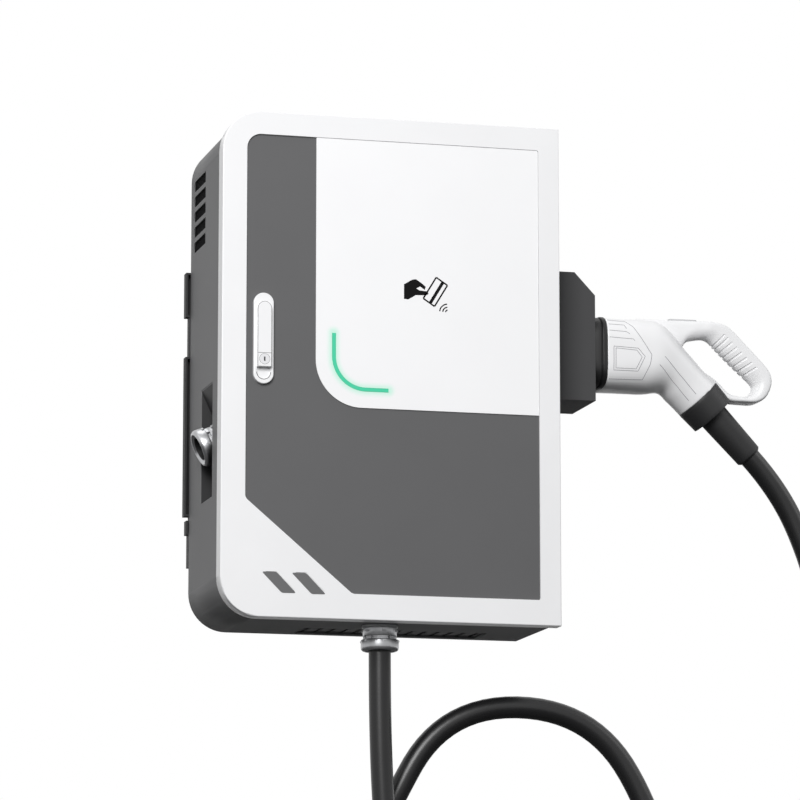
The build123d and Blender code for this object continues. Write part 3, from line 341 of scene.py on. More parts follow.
def add_strip_distance(tree):
    """Distance in metres from the strip's bent centre line, worked out in the door's own plane."""
    coord = tree.nodes.new("ShaderNodeTexCoord")
    split = tree.nodes.new("ShaderNodeSeparateXYZ")
    tree.links.new(coord.outputs["Object"], split.inputs["Vector"])
    x, z = split.outputs["X"], split.outputs["Z"]
    leftwards = math_node(tree, "MAXIMUM", math_node(tree, "SUBTRACT", STRIP_CORNER.x, x), 0.0)
    downwards = math_node(tree, "MAXIMUM", math_node(tree, "SUBTRACT", STRIP_CORNER.z, z), 0.0)
    squares = [math_node(tree, "POWER", side, 2.0) for side in (leftwards, downwards)]
    to_corner = math_node(tree, "SQRT", math_node(tree, "ADD", *squares))
    off_line = math_node(tree, "SUBTRACT", to_corner, STRIP_RADIUS)
    past_right = math_node(tree, "MAXIMUM", math_node(tree, "SUBTRACT", x, STRIP_ENDS[0]), 0.0)
    past_top = math_node(tree, "MAXIMUM", math_node(tree, "SUBTRACT", z, STRIP_ENDS[1]), 0.0)
    total = math_node(tree, "POWER", off_line, 2.0)
    for past in (past_right, past_top):
        total = math_node(tree, "ADD", total, math_node(tree, "POWER", past, 2.0))
    return math_node(tree, "SQRT", total)


def paint_strip_glow(material, glow_code, reach_mm):
    """Mixes a glow colour into a finish near the strip, as painted light."""
    tree = material.node_tree
    shader = tree.nodes["Principled BSDF"]
    old = shader.inputs["Base Color"].links[0].from_socket
    distance = add_strip_distance(tree)
    ramp = tree.nodes.new("ShaderNodeMapRange")
    ramp.interpolation_type = "SMOOTHERSTEP"
    ramp.inputs["From Min"].default_value = reach_mm / 1000
    ramp.inputs["From Max"].default_value = 0.0
    ramp.inputs["To Min"].default_value = 0.0
    ramp.inputs["To Max"].default_value = 0.75
    tree.links.new(distance, ramp.inputs["Value"])
    blend = tree.nodes.new("ShaderNodeMix")
    blend.data_type = "RGBA"
    tree.links.new(ramp.outputs["Result"], blend.inputs["Factor"])
    tree.links.new(old, blend.inputs[6])
    blend.inputs[7].default_value = colour(glow_code)
    tree.links.new(blend.outputs[2], shader.inputs["Base Color"])


# The mint halo on the cover near the strip is painted light.
paint_strip_glow(cover_white, "#b9f5dc", 13)
strip_green = make_finish("strip_green", "#3fb892", 0.3, 1.0, 0.01, cloud=0.02)
strip_shader = strip_green.node_tree.nodes["Principled BSDF"]
strip_shader.inputs["Emission Color"].default_value = colour("#35c596")
strip_shader.inputs["Emission Strength"].default_value = 0.25

# %% [markdown]
# ## Dressing the CAD pieces
# Each CAD piece keeps its mesh and takes a finish. CAD edges are perfectly sharp, and nothing real is: a
# fine bevel along them catches the light. A bevel modifier does that without touching the mesh, after a weld
# joins the loose corners that come with the file.

# %% Finish and soften each CAD piece
NODE_FINISHES = {
    "wall_bracket": (bracket_paint, 0.3),
    "rear_housing": (housing_paint, 0.35),
    "hanging_rails": (zinc, 0.2),
    "bottom_grille": (black_moulding, 0.0),
    "vent_filters": (filter_felt, 0.6),
    "power_module": (module_steel, 0.5),
    "fan_frames": (black_moulding, 0.4),
    "fan_rotor_left": (device_dark, 0.3),
    "fan_rotor_right": (device_dark, 0.3),
    "chassis_plate": (zinc, 0.3),
    "chassis_pillars": (zinc, 0.4),
    "din_rail": (zinc, 0.2),
    "aux_supply": (module_steel, 0.6),
    "control_breaker": (device_grey, 0.6),
    "control_breaker_toggle": (black_moulding, 0.4),
    "surge_protector": (device_grey, 0.6),
    "insulation_monitor": (device_grey, 0.6),
    "energy_meter": (device_grey, 0.6),
    "main_breaker": (device_dark, 0.8),
    "main_breaker_toggle": (black_moulding, 0.6),
    "ac_contactor": (device_dark, 0.8),
    "dc_contactors": (device_dark, 1.2),
    "dc_fuses": (fuse_ceramic, 0.8),
    "dc_busbars": (copper, 0.3),
    "terminal_block": (terminal_grey, 0.5),
    "earth_bar": (brass, 0.3),
    "control_board": (board_green, 0.15),
    "gland_locknuts": (nickel, 0.5),
    "cable_tail": (sheath_rubber, 0.0),
    "output_leads": (lead_orange, 0.0),
    "cable_boot": (soft_rubber, 0.5),
    "gun_collar_nut": (collar_black, 0.6),
    "gun_contacts": (contact_silver, 0.4),
    "gun_button": (gun_grey, 0.0),
    "holster_block": (holster_moulding, 0.9),
    "housing_hinges": (hinge_paint, 0.25),
    "hinge_pins": (pin_steel, 0.3),
    "door_frame": (door_white, 0.4),
    "grey_panel": (panel_paint, 0.2),
    "white_panel": (cover_white, 0.35),
    "light_guide": (strip_green, 0.1),
    "light_board": (board_green, 0.1),
    "card_reader": (board_green, 0.2),
    "door_gasket": (soft_rubber, 0.5),
    "door_hinges": (hinge_paint, 0.25),
    "handle_base": (handle_white, 0.0),
    "handle_clamp": (black_moulding, 0.3),
    "handle_spindle": (pin_steel, 0.2),
    "lever_pin": (pin_steel, 0.1),
    "handle_lever": (handle_white, 0.0),
    "lock_barrel": (lock_satin, 0.25),
    "latch_cam": (zinc, 0.3),
}


def soften(obj, width_mm):
    """Welds an object's loose corners and, given a width, rounds its sharp edges with hardened normals, leaving its
    mesh alone.
    """
    weld = obj.modifiers.new("weld", "WELD")
    weld.merge_threshold = 0.000005
    if width_mm > 0:
        bevel = obj.modifiers.new("edges", "BEVEL")
        bevel.width = width_mm / 1000
        bevel.segments = 2
        bevel.limit_method = "ANGLE"
        bevel.angle_limit = math.radians(35)
        bevel.harden_normals = True


for node, (finish, width) in NODE_FINISHES.items():
    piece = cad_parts[node]
    piece.data.materials.clear()
    piece.data.materials.append(finish)
    soften(piece, width)
print("dressed", len(NODE_FINISHES), "CAD pieces")

cable.data.materials.append(sheath_rubber)

# %% [markdown]
# ## Helpers for new pieces
# Some pieces are better made here than in CAD. Each starts as a bmesh, a loose bag of points and faces that
# Python can build up, and then becomes an object that rides on the CAD body it is fixed to.

# %% Make an object from points and faces


def new_piece(name, bm, finish, body, smooth_angle=35):
    """Object from a bmesh, finished, smoothly shaded below an angle, and riding on a body."""
    bmesh.ops.recalc_face_normals(bm, faces=bm.faces)
    limit = math.radians(smooth_angle)
    for edge in bm.edges:
        edge.smooth = len(edge.link_faces) == 2 and edge.calc_face_angle(0.0) < limit
    for face in bm.faces:
        face.smooth = True
    data = bpy.data.meshes.new(name)
    bm.to_mesh(data)
    bm.free()
    data.materials.append(finish)
    obj = bpy.data.objects.new(name, data)
    bpy.context.scene.collection.objects.link(obj)
    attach(obj, body)
    return obj


def lathe(bm, profile, place, steps=72):
    """Turns a profile of (radius, height) in millimetres about Z, then sets it in place."""
    rings = []
    for radius, height in profile:
        ring = []
        for step in range(steps):
            angle = math.tau * step / steps
            point = Vector((radius * math.cos(angle), radius * math.sin(angle), height)) / 1000
            ring.append(bm.verts.new(place @ point))
        rings.append(ring)
    for low, high in zip(rings, rings[1:]):
        for step in range(steps):
            after = (step + 1) % steps
            bm.faces.new((low[step], low[after], high[after], high[step]))
    return rings


def along(origin, direction, across=(0, 1, 0)):
    """Place whose Z axis points along a direction and whose X axis is close to another."""
    z = Vector(direction).normalized()
    x = Vector(across)
    x = (x - z * x.dot(z)).normalized()
    y = z.cross(x)
    turn = Matrix((x, y, z)).transposed().to_4x4()
    return Matrix.Translation(Vector(origin) / 1000) @ turn


# %% [markdown]
# ## The charging gun
# The gun's shell is one flowing moulding: a barrel with soft corners, an elbow, the limb for the cable and an
# open hand loop. Modelling it face by face would take a day. Here the barrel and limb are a loft of rings, the
# loop is a ribbon between an outer and an inner line, and a fine voxel remesh melts the two together, as the
# tool maker blends them.

# %% Barrel and limb
HOLSTER_FACE = 313.0
GUN_MIDDLE = -108.0
BARREL_AXIS = 102.4
# Each row: distance out, height, tilt in degrees, half height, half breadth, squareness.
GUN_SECTIONS = [
    (21.3, -2.6, 0.0, 50.8, 48.4, 3.8),
    (50.0, -2.6, 0.0, 51.0, 48.8, 3.3),
    (82.0, -2.6, 0.0, 51.6, 49.0, 2.9),
    (104.0, -5.0, 10.0, 49.5, 48.0, 2.5),
    (129.7, -20.8, 27.0, 36.0, 41.0, 2.2),
    (150.9, -42.0, 46.5, 33.8, 36.0, 2.1),
    (169.6, -58.7, 46.5, 35.0, 35.0, 2.0),
]


def gun_at(u, w, y=0.0):
    """Point from the gun's measures: u out from the holster, w above the barrel's axis, y off its middle."""
    return Vector((HOLSTER_FACE + u, GUN_MIDDLE + y, BARREL_AXIS + w)) / 1000


def between(rows, share):
    """Smooth value between rows of numbers, by a Catmull-Rom curve through them."""
    index = min(int(share), len(rows) - 2)
    t = share - index
    a, b = rows[max(index - 1, 0)], rows[index]
    c, d = rows[index + 1], rows[min(index + 2, len(rows) - 1)]
    values = []
    for p, q, r, s in zip(a, b, c, d):
        values.append(q + 0.5 * t * (r - p + t * (2 * p - 5 * q + 4 * r - s + t * (3 * (q - r) + s - p))))
    return values


def soft_square(angle, across, upright, squareness):
    """Point of an outline that is an oval at squareness 2 and has ever squarer corners above that."""
    c, s = math.cos(angle), math.sin(angle)
    reach = (abs(c / across) ** squareness + abs(s / upright) ** squareness) ** (-1 / squareness)
    return reach * c, reach * s


def skin(bm, rings, closed=False):
    """Faces between neighbouring rings of points, with a lid on each end unless the rings run in a circle."""
    pairs = list(zip(rings, rings[1:])) + ([(rings[-1], rings[0])] if closed else [])
    for low, high in pairs:
        for step in range(len(low)):
            after = (step + 1) % len(low)
            bm.faces.new((low[step], low[after], high[after], high[step]))
    if not closed:
        bm.faces.new(rings[0])
        bm.faces.new(rings[-1])


def add_barrel(bm):
    rings = []
    for index in range((len(GUN_SECTIONS) - 1) * 8 + 1):
        u, w, tilt, radius, breadth, squareness = between(GUN_SECTIONS, index / 8)
        slope = math.radians(tilt)
        ring = []
        for step in range(72):
            y, lift = soft_square(math.tau * step / 72, breadth, radius, squareness)
            ring.append(bm.verts.new(gun_at(u + lift * math.sin(slope), w + lift * math.cos(slope), y)))
        rings.append(ring)
    skin(bm, rings)


# %% [markdown]
# The hand loop is thick and round where the fingers go, and thin at its foot. Its outer line and its hole are
# read off in side view as pairs of points; at each pair the section is fuller towards the outside, so that the
# inner wall turns away slowly, as a handle must.

# %% The hand loop
# Each row: outer point, inner point, half thickness.
LOOP_PAIRS = [
    (75, 52.3, 75, 8, 15),
    (120, 52.3, 122, 8, 15),
    (140, 52.4, 142.5, 10, 15.5),
    (155, 52.5, 147.5, 17.5, 16.5),
    (165, 52.5, 154, 23.0, 17.5),
    (176, 52.6, 166, 26.0, 18.5),
    (188, 52.2, 178, 27.2, 20),
    (205, 49.4, 186.5, 23.8, 20),
    (219, 40.6, 194.0, 15.8, 20),
    (237.4, 22.3, 209.5, 0.8, 20),
    (257.4, 2.3, 228.5, -16.5, 20),
    (273.0, -15.8, 246.0, -31.5, 20),
    (277.0, -33.0, 251.5, -39.5, 20),
    (270.0, -52.0, 247.0, -48.8, 19),
    (256.0, -62.0, 238.5, -53.2, 18),
    (236.0, -63.0, 226.0, -53.0, 17),
    (215.0, -62.0, 212.0, -48.5, 16),
    (200.0, -56.0, 202.0, -37.5, 16),
    (186.0, -43.0, 190.0, -27.5, 16),
    (172.0, -31.0, 177.0, -20.0, 16),
]


def loop_ring(share, grow=0.0, first=0.0, last=math.tau, steps=48):
    """Section of the hand loop between two pairs, fuller on its outer side; grow moves its skin outwards."""
    outer_u, outer_w, inner_u, inner_w, half = between(LOOP_PAIRS, share)
    outer, inner = Vector((outer_u, outer_w)), Vector((inner_u, inner_w))
    ridge = outer.lerp(inner, 0.36)
    out_reach, in_reach = (outer - ridge).length, (inner - ridge).length
    direction = (outer - inner).normalized()
    points = []
    for step in range(steps):
        angle = first + (last - first) * step / (steps if last - first > 6.28 else steps - 1)
        reach, squareness = (out_reach, 4.6) if math.cos(angle) > 0 else (in_reach, 2.2)
        x, y = soft_square(angle, reach + grow, half + grow, squareness)
        place = ridge + direction * x
        points.append(gun_at(place.x, place.y, y))
    return points


def add_loop(bm):
    count = (len(LOOP_PAIRS) - 1) * 6
    skin(bm, [[bm.verts.new(p) for p in loop_ring(index / 6)] for index in range(count + 1)])


# %% [markdown]
# The barrel and the loop still pass through each other. The remesh keeps only their common outer skin, and a
# few turns of smoothing take away the steps that voxels leave.

# %% Melt them together


def applied(obj):
    """A new mesh with the object's modifiers worked in."""
    bpy.context.view_layer.update()
    return bpy.data.meshes.new_from_object(obj.evaluated_get(bpy.context.evaluated_depsgraph_get()))


def bring_in(name, mesh):
    obj = bpy.data.objects.new(name, mesh)
    bpy.context.scene.collection.objects.link(obj)
    return obj


def mesh_of(name, bm):
    """Plain mesh from a bmesh, with its faces turned outwards."""
    bmesh.ops.recalc_face_normals(bm, faces=bm.faces)
    data = bpy.data.meshes.new(name)
    bm.to_mesh(data)
    bm.free()
    return data


gun_bm = bmesh.new()
add_barrel(gun_bm)
add_loop(gun_bm)
rough_gun = bring_in("gun_rough", mesh_of("gun_rough", gun_bm))
melt = rough_gun.modifiers.new("melt", "REMESH")
melt.mode = "VOXEL"
melt.voxel_size = 0.0012
fair = rough_gun.modifiers.new("fair", "SMOOTH")
fair.factor = 0.5
fair.iterations = 6
gun_mesh = applied(rough_gun)
bpy.data.objects.remove(rough_gun)
print("gun shell has", len(gun_mesh.polygons), "faces after the remesh")

# %% [markdown]
# The grip has ribs for the fingers, the top of the shell has a pocket for the release button, and a fine
# shadow gap runs round where the two half shells meet. The ribs and the pocket are cut with a boolean after
# the remesh, because voxels would blur them.

# %% Cut the ribs and the button's pocket
RIBS = 8


def add_block(bm, centre, size):
    """Box about a point, with its size in millimetres."""
    place = Matrix.Translation(Vector(centre))
    place = place @ Matrix.Diagonal((size[0] / 1000, size[1] / 1000, size[2] / 1000, 1))
    bmesh.ops.create_cube(bm, size=1.0, matrix=place)


def add_rib_cutter(bm, share, width=0.0034, depth=1.3):
    """Thin slice that follows the grip's inner wall from ridge to ridge, a little below its skin."""
    span = (math.radians(96), math.radians(264))
    shift = Vector((1, 0, -1)).normalized() * width / 2
    rings = []
    for side in (-1, 1):
        deep = [p + shift * side for p in loop_ring(share, -depth, *span, steps=24)]
        proud = [p + shift * side for p in loop_ring(share, 3.0, *span, steps=24)]
        rings.append([bm.verts.new(p) for p in deep + list(reversed(proud))])
    skin(bm, rings)


cutters = bmesh.new()
for rib in range(RIBS):
    add_rib_cutter(cutters, 7.75 + rib * 0.379)
add_block(cutters, gun_at(146.5, 50.0), (41.6, 13.6, 19.0))
cutter = bring_in("gun_cutters", mesh_of("gun_cutters", cutters))
gun_body = bring_in("gun_body", gun_mesh)
cut = gun_body.modifiers.new("cut", "BOOLEAN")
cut.operation = "DIFFERENCE"
cut.solver = "EXACT"
cut.object = cutter
gun_bm = bmesh.new()
gun_bm.from_mesh(applied(gun_body))
bpy.data.objects.remove(gun_body)
bpy.data.objects.remove(cutter)
gun_shell = new_piece("gun_shell", gun_bm, gun_white, "cabinet", 40)
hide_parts("gun_shell_front", "gun_shell_rear")
print("gun shell has", len(gun_shell.data.polygons), "faces after the cuts")

# %% [markdown]
# Fine grooves are drawn on the shell. Cutting them would need a much finer mesh, so each is a thin dark thread,
# pressed half into the surface where a ray along Y meets it; its dark colour is the groove's painted shade. At arm's
# length it reads as a groove.

# %% Grooves on both sides of the gun
GROOVE_RADIUS = 0.4
GROOVE_SINK = 0.00008
GUN_GROOVES = [
    [(30, 3), (66, 1.5), (76, -10), (66, -31), (30, -31), (30, 3)],
    [(33, 0.5), (64, -1.5), (71.5, -11), (63, -28), (33, -28), (33, 0.5)],
    [(24, 42), (50, 41), (60, 33), (86, -7), (84, -20), (74, -42), (24, -43)],
    [(24, 35.5), (47, 35), (50, 29.5)],
    [(24, 26), (49, 25), (54, 22)],
    [(24, 16), (59, 14.5), (61, 12)],
    [(106, -8), (140, -41), (156, -58)],
    [(98, -20), (128, -47), (147, -67)],
]


def groove_on(surface, points, side):
    """Groove thread from points in u and w, dropped onto the shell from one side."""
    trail = []
    for (u0, w0), (u1, w1) in zip(points, points[1:]):
        pieces = max(2, int(math.hypot(u1 - u0, w1 - w0) / 2.5))
        for step in range(pieces + (1 if (u1, w1) == points[-1] else 0)):
            t = step / pieces
            start = gun_at(u0 + (u1 - u0) * t, w0 + (w1 - w0) * t, side * 90)
            hit = surface.ray_cast(start, Vector((0, -side, 0)))
            if hit[0] is not None:
                trail.append(hit[0] - hit[1] * GROOVE_SINK)
    return [tuple(p * 1000) for p in trail]


def join_curves(name, trails, radius, finish, body):
    """One object of several round threads."""
    data = bpy.data.curves.new(name, "CURVE")
    data.dimensions = "3D"
    data.bevel_depth = 1.0
    data.bevel_resolution = 2
    for trail in trails:
        spline = data.splines.new("POLY")
        spline.points.add(len(trail) - 1)
        for point, (x, y, z) in zip(spline.points, trail):
            point.co = (x / 1000, y / 1000, z / 1000, 1)
            point.radius = radius / 1000
    data.materials.append(finish)
    obj = bpy.data.objects.new(name, data)
    bpy.context.scene.collection.objects.link(obj)
    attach(obj, body)
    return obj


shell_bm = bmesh.new()
shell_bm.from_mesh(gun_shell.data)
shell_surface = BVHTree.FromBMesh(shell_bm)
trails = [groove_on(shell_surface, points, side) for side in (-1, 1) for points in GUN_GROOVES]
shell_bm.free()
trails = [trail for trail in trails if len(trail) > 1]
# The threads' dark colour is the painted shade of the grooves.
join_curves("gun_grooves", trails, GROOVE_RADIUS, groove_shade, "cabinet")
print("drew", len(trails), "grooves on the gun")

# %% [markdown]
# ## The plug's flange and nose
# Between the white shell and the holster sits a black flange: a soft-cornered block with a raised lip at its
# outer end and a fine groove before it. The nose behind it goes into the holster's socket. Both are skins over
# rings, each ring the same outline grown or shrunk a little, which is how such a stepped moulding is turned out.

# %% Flange and nose
FLANGE_STEPS = [(0.7, -2.6), (1.4, -1.2), (3.0, -0.6), (11.4, -0.2), (12.2, -1.4), (13.6, -1.5),
                (14.3, 0.2), (15.4, 0.9), (19.4, 0.9), (20.6, 0.4), (21.2, -0.6), (21.3, -3.0)]
NOSE_STEPS = [(0.8, 0.0), (-42.0, 0.0), (-43.8, -0.5), (-44.4, -1.4), (-44.4, -2.4), (-43.6, -3.2), (-15.0, -3.2)]


def squared_ring(bm, u, drop, upright, across, squareness):
    """Ring of points square to the barrel."""
    ring = []
    for step in range(72):
        y, lift = soft_square(math.tau * step / 72, across, upright, squareness)
        ring.append(bm.verts.new(gun_at(u, drop + lift, y)))
    return ring


flange_bm = bmesh.new()
skin(flange_bm, [squared_ring(flange_bm, u, -2.6, 51.0 + grow, 48.6 + grow, 4.0) for u, grow in FLANGE_STEPS])
skin(flange_bm, [squared_ring(flange_bm, u, 0.0, 44.0 + grow, 31.0 + grow, 2.9) for u, grow in NOSE_STEPS])
flange = new_piece("plug_flange", flange_bm, flange_black, "cabinet", 28)
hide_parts("gun_nose")

# %% [markdown]
# ## The cable glands
# A gland is a metal body screwed into the wall, a ring of claws in a narrow gap, and a clamping nut that
# presses the claws on the cable. The body and the nut are turned from profiles, and the claws and wrench lugs
# are small blocks set round them.

# %% Turn the glands
BODY_PROFILE = [(17.0, 0.2), (24.4, 0.2), (25.0, 0.8), (25.0, 3.2), (24.4, 3.8), (23.4, 4.2),
                (23.4, 14.2), (22.8, 15.2), (20.4, 15.4), (20.4, 20.4), (17.0, 20.4)]
NUT_PROFILE = [(17.2, 20.2), (25.4, 20.2), (26.2, 20.7), (26.4, 21.6), (26.4, 30.8), (25.9, 33.2),
               (24.6, 34.9), (22.6, 35.8), (21.4, 35.9), (20.6, 35.2), (18.6, 33.0), (17.2, 32.4)]
SUPPLY_SET_BACK = 0.0103
SUPPLY_GLAND = along((-226.6, -131.5, -53.0), (-0.91636, 0, -0.40035))
SUPPLY_GLAND = SUPPLY_GLAND @ Matrix.Translation((0, 0, -SUPPLY_SET_BACK))
OUTPUT_GLAND = along((5.0, -145.0, -301.0), (0, 0, -1))


def add_round(bm, place, radius, height, size, count, start=0.0):
    """Blocks set evenly round an axis, each given as depth, breadth and thickness in millimetres."""
    for index in range(count):
        angle = start + math.tau * index / count
        turn = place @ Matrix.Rotation(angle, 4, "Z") @ Matrix.Translation(Vector((radius, 0, height)) / 1000)
        scale = Matrix.Diagonal((size[0] / 1000, size[1] / 1000, size[2] / 1000, 1))
        bmesh.ops.create_cube(bm, size=1.0, matrix=turn @ scale)


def add_gland(bm, place):
    for profile in (BODY_PROFILE, NUT_PROFILE):
        rings = lathe(bm, profile, place)
        for step in range(len(rings[0])):
            after = (step + 1) % len(rings[0])
            bm.faces.new((rings[-1][step], rings[-1][after], rings[0][after], rings[0][step]))
    add_round(bm, place, 21.6, 17.9, (2.8, 9.0, 4.6), 8, 0.2)
    add_round(bm, place, 24.2, 8.6, (3.4, 4.6, 2.2), 6, 0.0)
    add_round(bm, place, 26.4, 22.4, (2.2, 4.6, 2.4), 6, 0.0)


gland_bm = bmesh.new()
seal_bm = bmesh.new()
for place in (SUPPLY_GLAND, OUTPUT_GLAND):
    add_gland(gland_bm, place)
    rings = lathe(seal_bm, [(15.6, 20.6), (17.1, 20.6), (17.1, 33.2), (16.6, 33.8), (15.6, 33.4)], place)
    rings.append(rings[0])
    for step in range(len(rings[0])):
        after = (step + 1) % len(rings[0])
        seal_bm.faces.new((rings[-2][step], rings[-2][after], rings[-1][after], rings[-1][step]))
glands = new_piece("gland_metal", gland_bm, nickel, "cabinet", 32)
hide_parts("gland_bodies", "gland_nuts")
seals = new_piece("gland_rubber", seal_bm, soft_rubber, "cabinet", 32)
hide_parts("gland_seals")
print("glands have", len(glands.data.polygons), "faces")

# %% [markdown]
# ## Fine lines on the door
# The swing handle is white on white, so it is read by its thin shadow lines: round the lever, above the lock,
# round the barrel and in the finger dish. A line is a thread half sunk into the face. Ink symbols are flat
# shapes a tenth of a millimetre thick, as a printed film is.

# %% Shadow lines of the handle
HANDLE_X = -182.0
BODY_FACE = -238.0
LEVER_FACE = -244.05


def ring_points(x, z, radius, y, first=0.0, last=360.0, steps=40):
    """Points of an arc on an upright plane, by angles in degrees from the right."""
    points = []
    for step in range(steps + 1):
        angle = math.radians(first + (last - first) * step / steps)
        points.append((x + radius * math.cos(angle), y, z + radius * math.sin(angle)))
    return points


lever_line = [(HANDLE_X - 9.4, LEVER_FACE, 37.4), *reversed(ring_points(HANDLE_X, 117.3, 9.4, LEVER_FACE, 0, 180)),
              (HANDLE_X + 9.4, LEVER_FACE, 37.4)]
dish_line = ring_points(HANDLE_X, 29.7, 9.7, BODY_FACE, 180, 360)
join_curves("handle_shadow_lines", [dish_line], 0.42, seam_shade, "door")
foot_line = [(HANDLE_X - 9.6, LEVER_FACE + 0.2, 36.9), (HANDLE_X + 9.6, LEVER_FACE + 0.2, 36.9)]
seam_line = [(HANDLE_X - 9.6, LEVER_FACE, 55.5), (HANDLE_X + 9.6, LEVER_FACE, 55.5)]
lock_line = ring_points(HANDLE_X, 47.0, 7.3, LEVER_FACE)
lever_trails = [lever_line, foot_line, seam_line, lock_line]
join_curves("lever_shadow_lines", lever_trails, 0.32, seam_shade, "lever")

# %% [markdown]
# The card symbol on the cover shows where a card is held: a hand, a slanted card with a dark stripe and three
# waves. It is drawn here as flat outlines and lies on the cover like a print.

# %% Card symbol
COVER_FACE = -233.8
BOX_LEFT = -240.0
BOX_FOOT = -305.0
CARD = [(302.5, 479.5), (318.5, 469.0), (300.0, 438.5), (284.0, 449.0)]
HAND = [(256.5, 447.0), (256.5, 467.5), (268.0, 474.5), (273.5, 475.5), (282.0, 470.0), (287.5, 465.5),
        (286.0, 461.0), (279.5, 465.5), (274.0, 462.5), (278.5, 460.0), (290.5, 459.0), (291.5, 455.5),
        (288.0, 453.5), (273.0, 453.0), (268.5, 450.0), (262.5, 446.5)]


def add_film(bm, outline, front, back):
    """Flat shape between two depths, from an outline of x and z in millimetres."""
    near = [bm.verts.new(Vector((x, front, z)) / 1000) for x, z in outline]
    far = [bm.verts.new(Vector((x, back, z)) / 1000) for x, z in outline]
    bm.faces.new(near)
    bm.faces.new(list(reversed(far)))
    for index in range(len(outline)):
        after = (index + 1) % len(outline)
        bm.faces.new((near[index], far[index], far[after], near[after]))


def add_print(bm, outline):
    """Ink on the cover, from an outline measured off the box's lower left corner."""
    add_film(bm, [(x + BOX_LEFT, z + BOX_FOOT) for x, z in outline], COVER_FACE - 0.12, COVER_FACE + 0.05)


def stroke(start, end, width):
    """Outline of a straight stroke."""
    a, b = Vector(start), Vector(end)
    side = (b - a).normalized().orthogonal() * width / 2
    return [tuple(a + side), tuple(b + side), tuple(b - side), tuple(a - side)]


def wave(centre, radius, width, first=95, last=175, steps=10):
    """Outline of a curved stroke."""
    def arc(r, order):
        return [(centre[0] + r * math.cos(math.radians(t)), centre[1] + r * math.sin(math.radians(t))) for t in order]
    angles = [first + (last - first) * step / steps for step in range(steps + 1)]
    return arc(radius + width / 2, angles) + arc(radius - width / 2, list(reversed(angles)))


symbol_bm = bmesh.new()
for start, end in zip(CARD, CARD[1:] + CARD[:1]):
    add_print(symbol_bm, stroke(start, end, 2.2))
add_print(symbol_bm, stroke((312.2, 473.2), (293.8, 442.7), 4.4))
add_print(symbol_bm, HAND)
for radius in (3.2, 7.2, 11.6):
    add_print(symbol_bm, wave((319.0, 431.0), radius, 1.7))
new_piece("card_symbol", symbol_bm, symbol_ink, "door", 10)

# %% [markdown]
# The two slanted inlays in the lower left corner are films with blunt corners. Each corner is rounded with a
# short bend between two points on its sides.

# %% Slanted inlays
INLAY = [(-182.5, -243.6), (-162.5, -243.2), (-134.6, -271.6), (-154.6, -271.9)]
INLAY_STEP = (41.4, -0.3)


def blunt(corners, reach, steps=5):
    """Outline with each corner bent over the given reach."""
    points = []
    for index, corner in enumerate(corners):
        here = Vector(corner)
        before = here + (Vector(corners[index - 1]) - here).normalized() * reach
        after = here + (Vector(corners[(index + 1) % len(corners)]) - here).normalized() * reach
        for step in range(steps + 1):
            t = step / steps
            points.append(tuple(before * (1 - t) ** 2 + here * 2 * t * (1 - t) + after * t ** 2))
    return points


inlay_bm = bmesh.new()
for index in range(2):
    corners = [(x + index * INLAY_STEP[0], z + index * INLAY_STEP[1]) for x, z in INLAY]
    add_film(inlay_bm, blunt(corners, 3.2), -235.3, -233.8)
inlays = new_piece("inlay_films", inlay_bm, inlay_grey, "door", 10)
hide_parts("slanted_inlays")

# %% [markdown]
# The key slot of the lock is a dark slit in its barrel, drawn as a thin dark film: painted shade of the slot.

# %% Key slot
slot_bm = bmesh.new()
slot = [(HANDLE_X - 1.0, 44.1), (HANDLE_X + 1.0, 44.1), (HANDLE_X + 1.0, 49.9), (HANDLE_X - 1.0, 49.9)]
add_film(slot_bm, slot, LEVER_FACE + 0.2, LEVER_FACE + 1.4)
new_piece("key_slot_shade", slot_bm, seam_shade, "lock", 10)

# %% [markdown]
# ## The floor and the light
# The box is shown as in a catalogue: white all round, with soft light from the front and above. The world
# gives a low even light, and shows as white to the camera and in reflections. A ray's kind tells the two apart.

# %% World


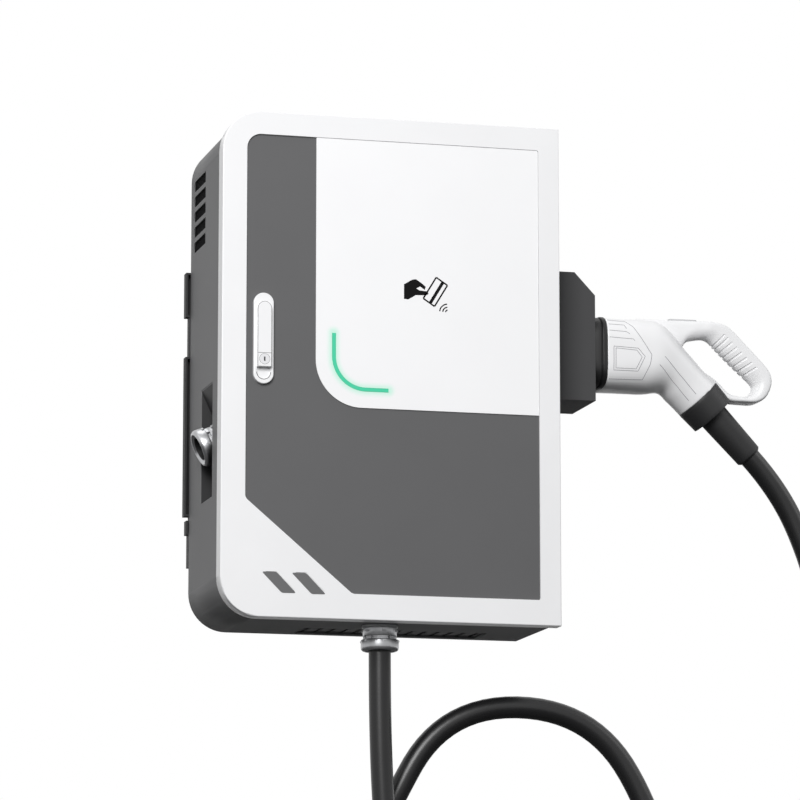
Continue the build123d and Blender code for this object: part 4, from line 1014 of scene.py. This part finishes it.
def white_world():
    world = bpy.data.worlds.new("studio")
    bpy.context.scene.world = world
    world.use_nodes = True
    tree = world.node_tree
    tree.nodes.clear()
    out = tree.nodes.new("ShaderNodeOutputWorld")
    soft = tree.nodes.new("ShaderNodeBackground")
    soft.inputs["Color"].default_value = (0.95, 0.97, 1.0, 1)
    soft.inputs["Strength"].default_value = 0.16
    shown = tree.nodes.new("ShaderNodeBackground")
    shown.inputs["Color"].default_value = (1, 1, 1, 1)
    shown.inputs["Strength"].default_value = 1.0
    path = tree.nodes.new("ShaderNodeLightPath")
    seen = math_node(tree, "MAXIMUM", path.outputs["Is Camera Ray"], path.outputs["Is Glossy Ray"])
    seen = math_node(tree, "MAXIMUM", seen, path.outputs["Is Transmission Ray"])
    mix = tree.nodes.new("ShaderNodeMixShader")
    tree.links.new(seen, mix.inputs["Fac"])
    tree.links.new(soft.outputs["Background"], mix.inputs[1])
    tree.links.new(shown.outputs["Background"], mix.inputs[2])
    tree.links.new(mix.outputs["Shader"], out.inputs["Surface"])


white_world()

# %% [markdown]
# Four large lamps do the rest. The key stands to the left in front, and the three others only lift the
# shade, so that the front is the brightest side, the left side is darker and the foot is in shade.

# %% Lamps


def add_lamp(name, place, aim, size, power):
    data = bpy.data.lights.new(name, "AREA")
    data.shape = "SQUARE"
    data.size = size
    data.energy = power
    lamp = bpy.data.objects.new(name, data)
    lamp.location = place
    lamp.rotation_euler = (Vector(aim) - Vector(place)).to_track_quat("-Z", "Y").to_euler()
    bpy.context.scene.collection.objects.link(lamp)


add_lamp("key", (-1.9, -4.4, 1.8), (0.0, -0.1, -0.1), 2.2, 232)
add_lamp("left_fill", (-3.0, -0.9, 2.6), (0.0, -0.1, 0.1), 1.8, 6)
add_lamp("top_fill", (-0.4, 0.6, 3.6), (0.0, -0.1, 0.2), 2.2, 30)
add_lamp("right_fill", (4.0, -1.6, 2.2), (0.3, -0.1, 0.0), 2.0, 24)

# %% [markdown]
# The floor is lighter to the camera than to the light that falls on it. A pale floor would throw light up
# under the box and lose the shade at its foot.

# %% Floor


def floor_finish():
    """Floor with one colour for the camera and a darker one for the light that it throws back up."""
    material = bpy.data.materials.new("floor_paint")
    material.use_nodes = True
    tree = material.node_tree
    shader = tree.nodes["Principled BSDF"]
    shader.inputs["Roughness"].default_value = 0.9
    path = tree.nodes.new("ShaderNodeLightPath")
    blend = tree.nodes.new("ShaderNodeMix")
    blend.data_type = "RGBA"
    tree.links.new(path.outputs["Is Camera Ray"], blend.inputs["Factor"])
    blend.inputs[6].default_value = (0.14, 0.14, 0.14, 1)
    blend.inputs[7].default_value = (0.62, 0.62, 0.62, 1)
    tree.links.new(blend.outputs[2], shader.inputs["Base Color"])
    return material


bpy.ops.mesh.primitive_plane_add(size=14, location=(0, 0, -1.35))
floor = bpy.context.active_object
floor.name = "floor"
floor.data.materials.append(floor_finish())
bpy.context.scene.view_settings.view_transform = "Standard"
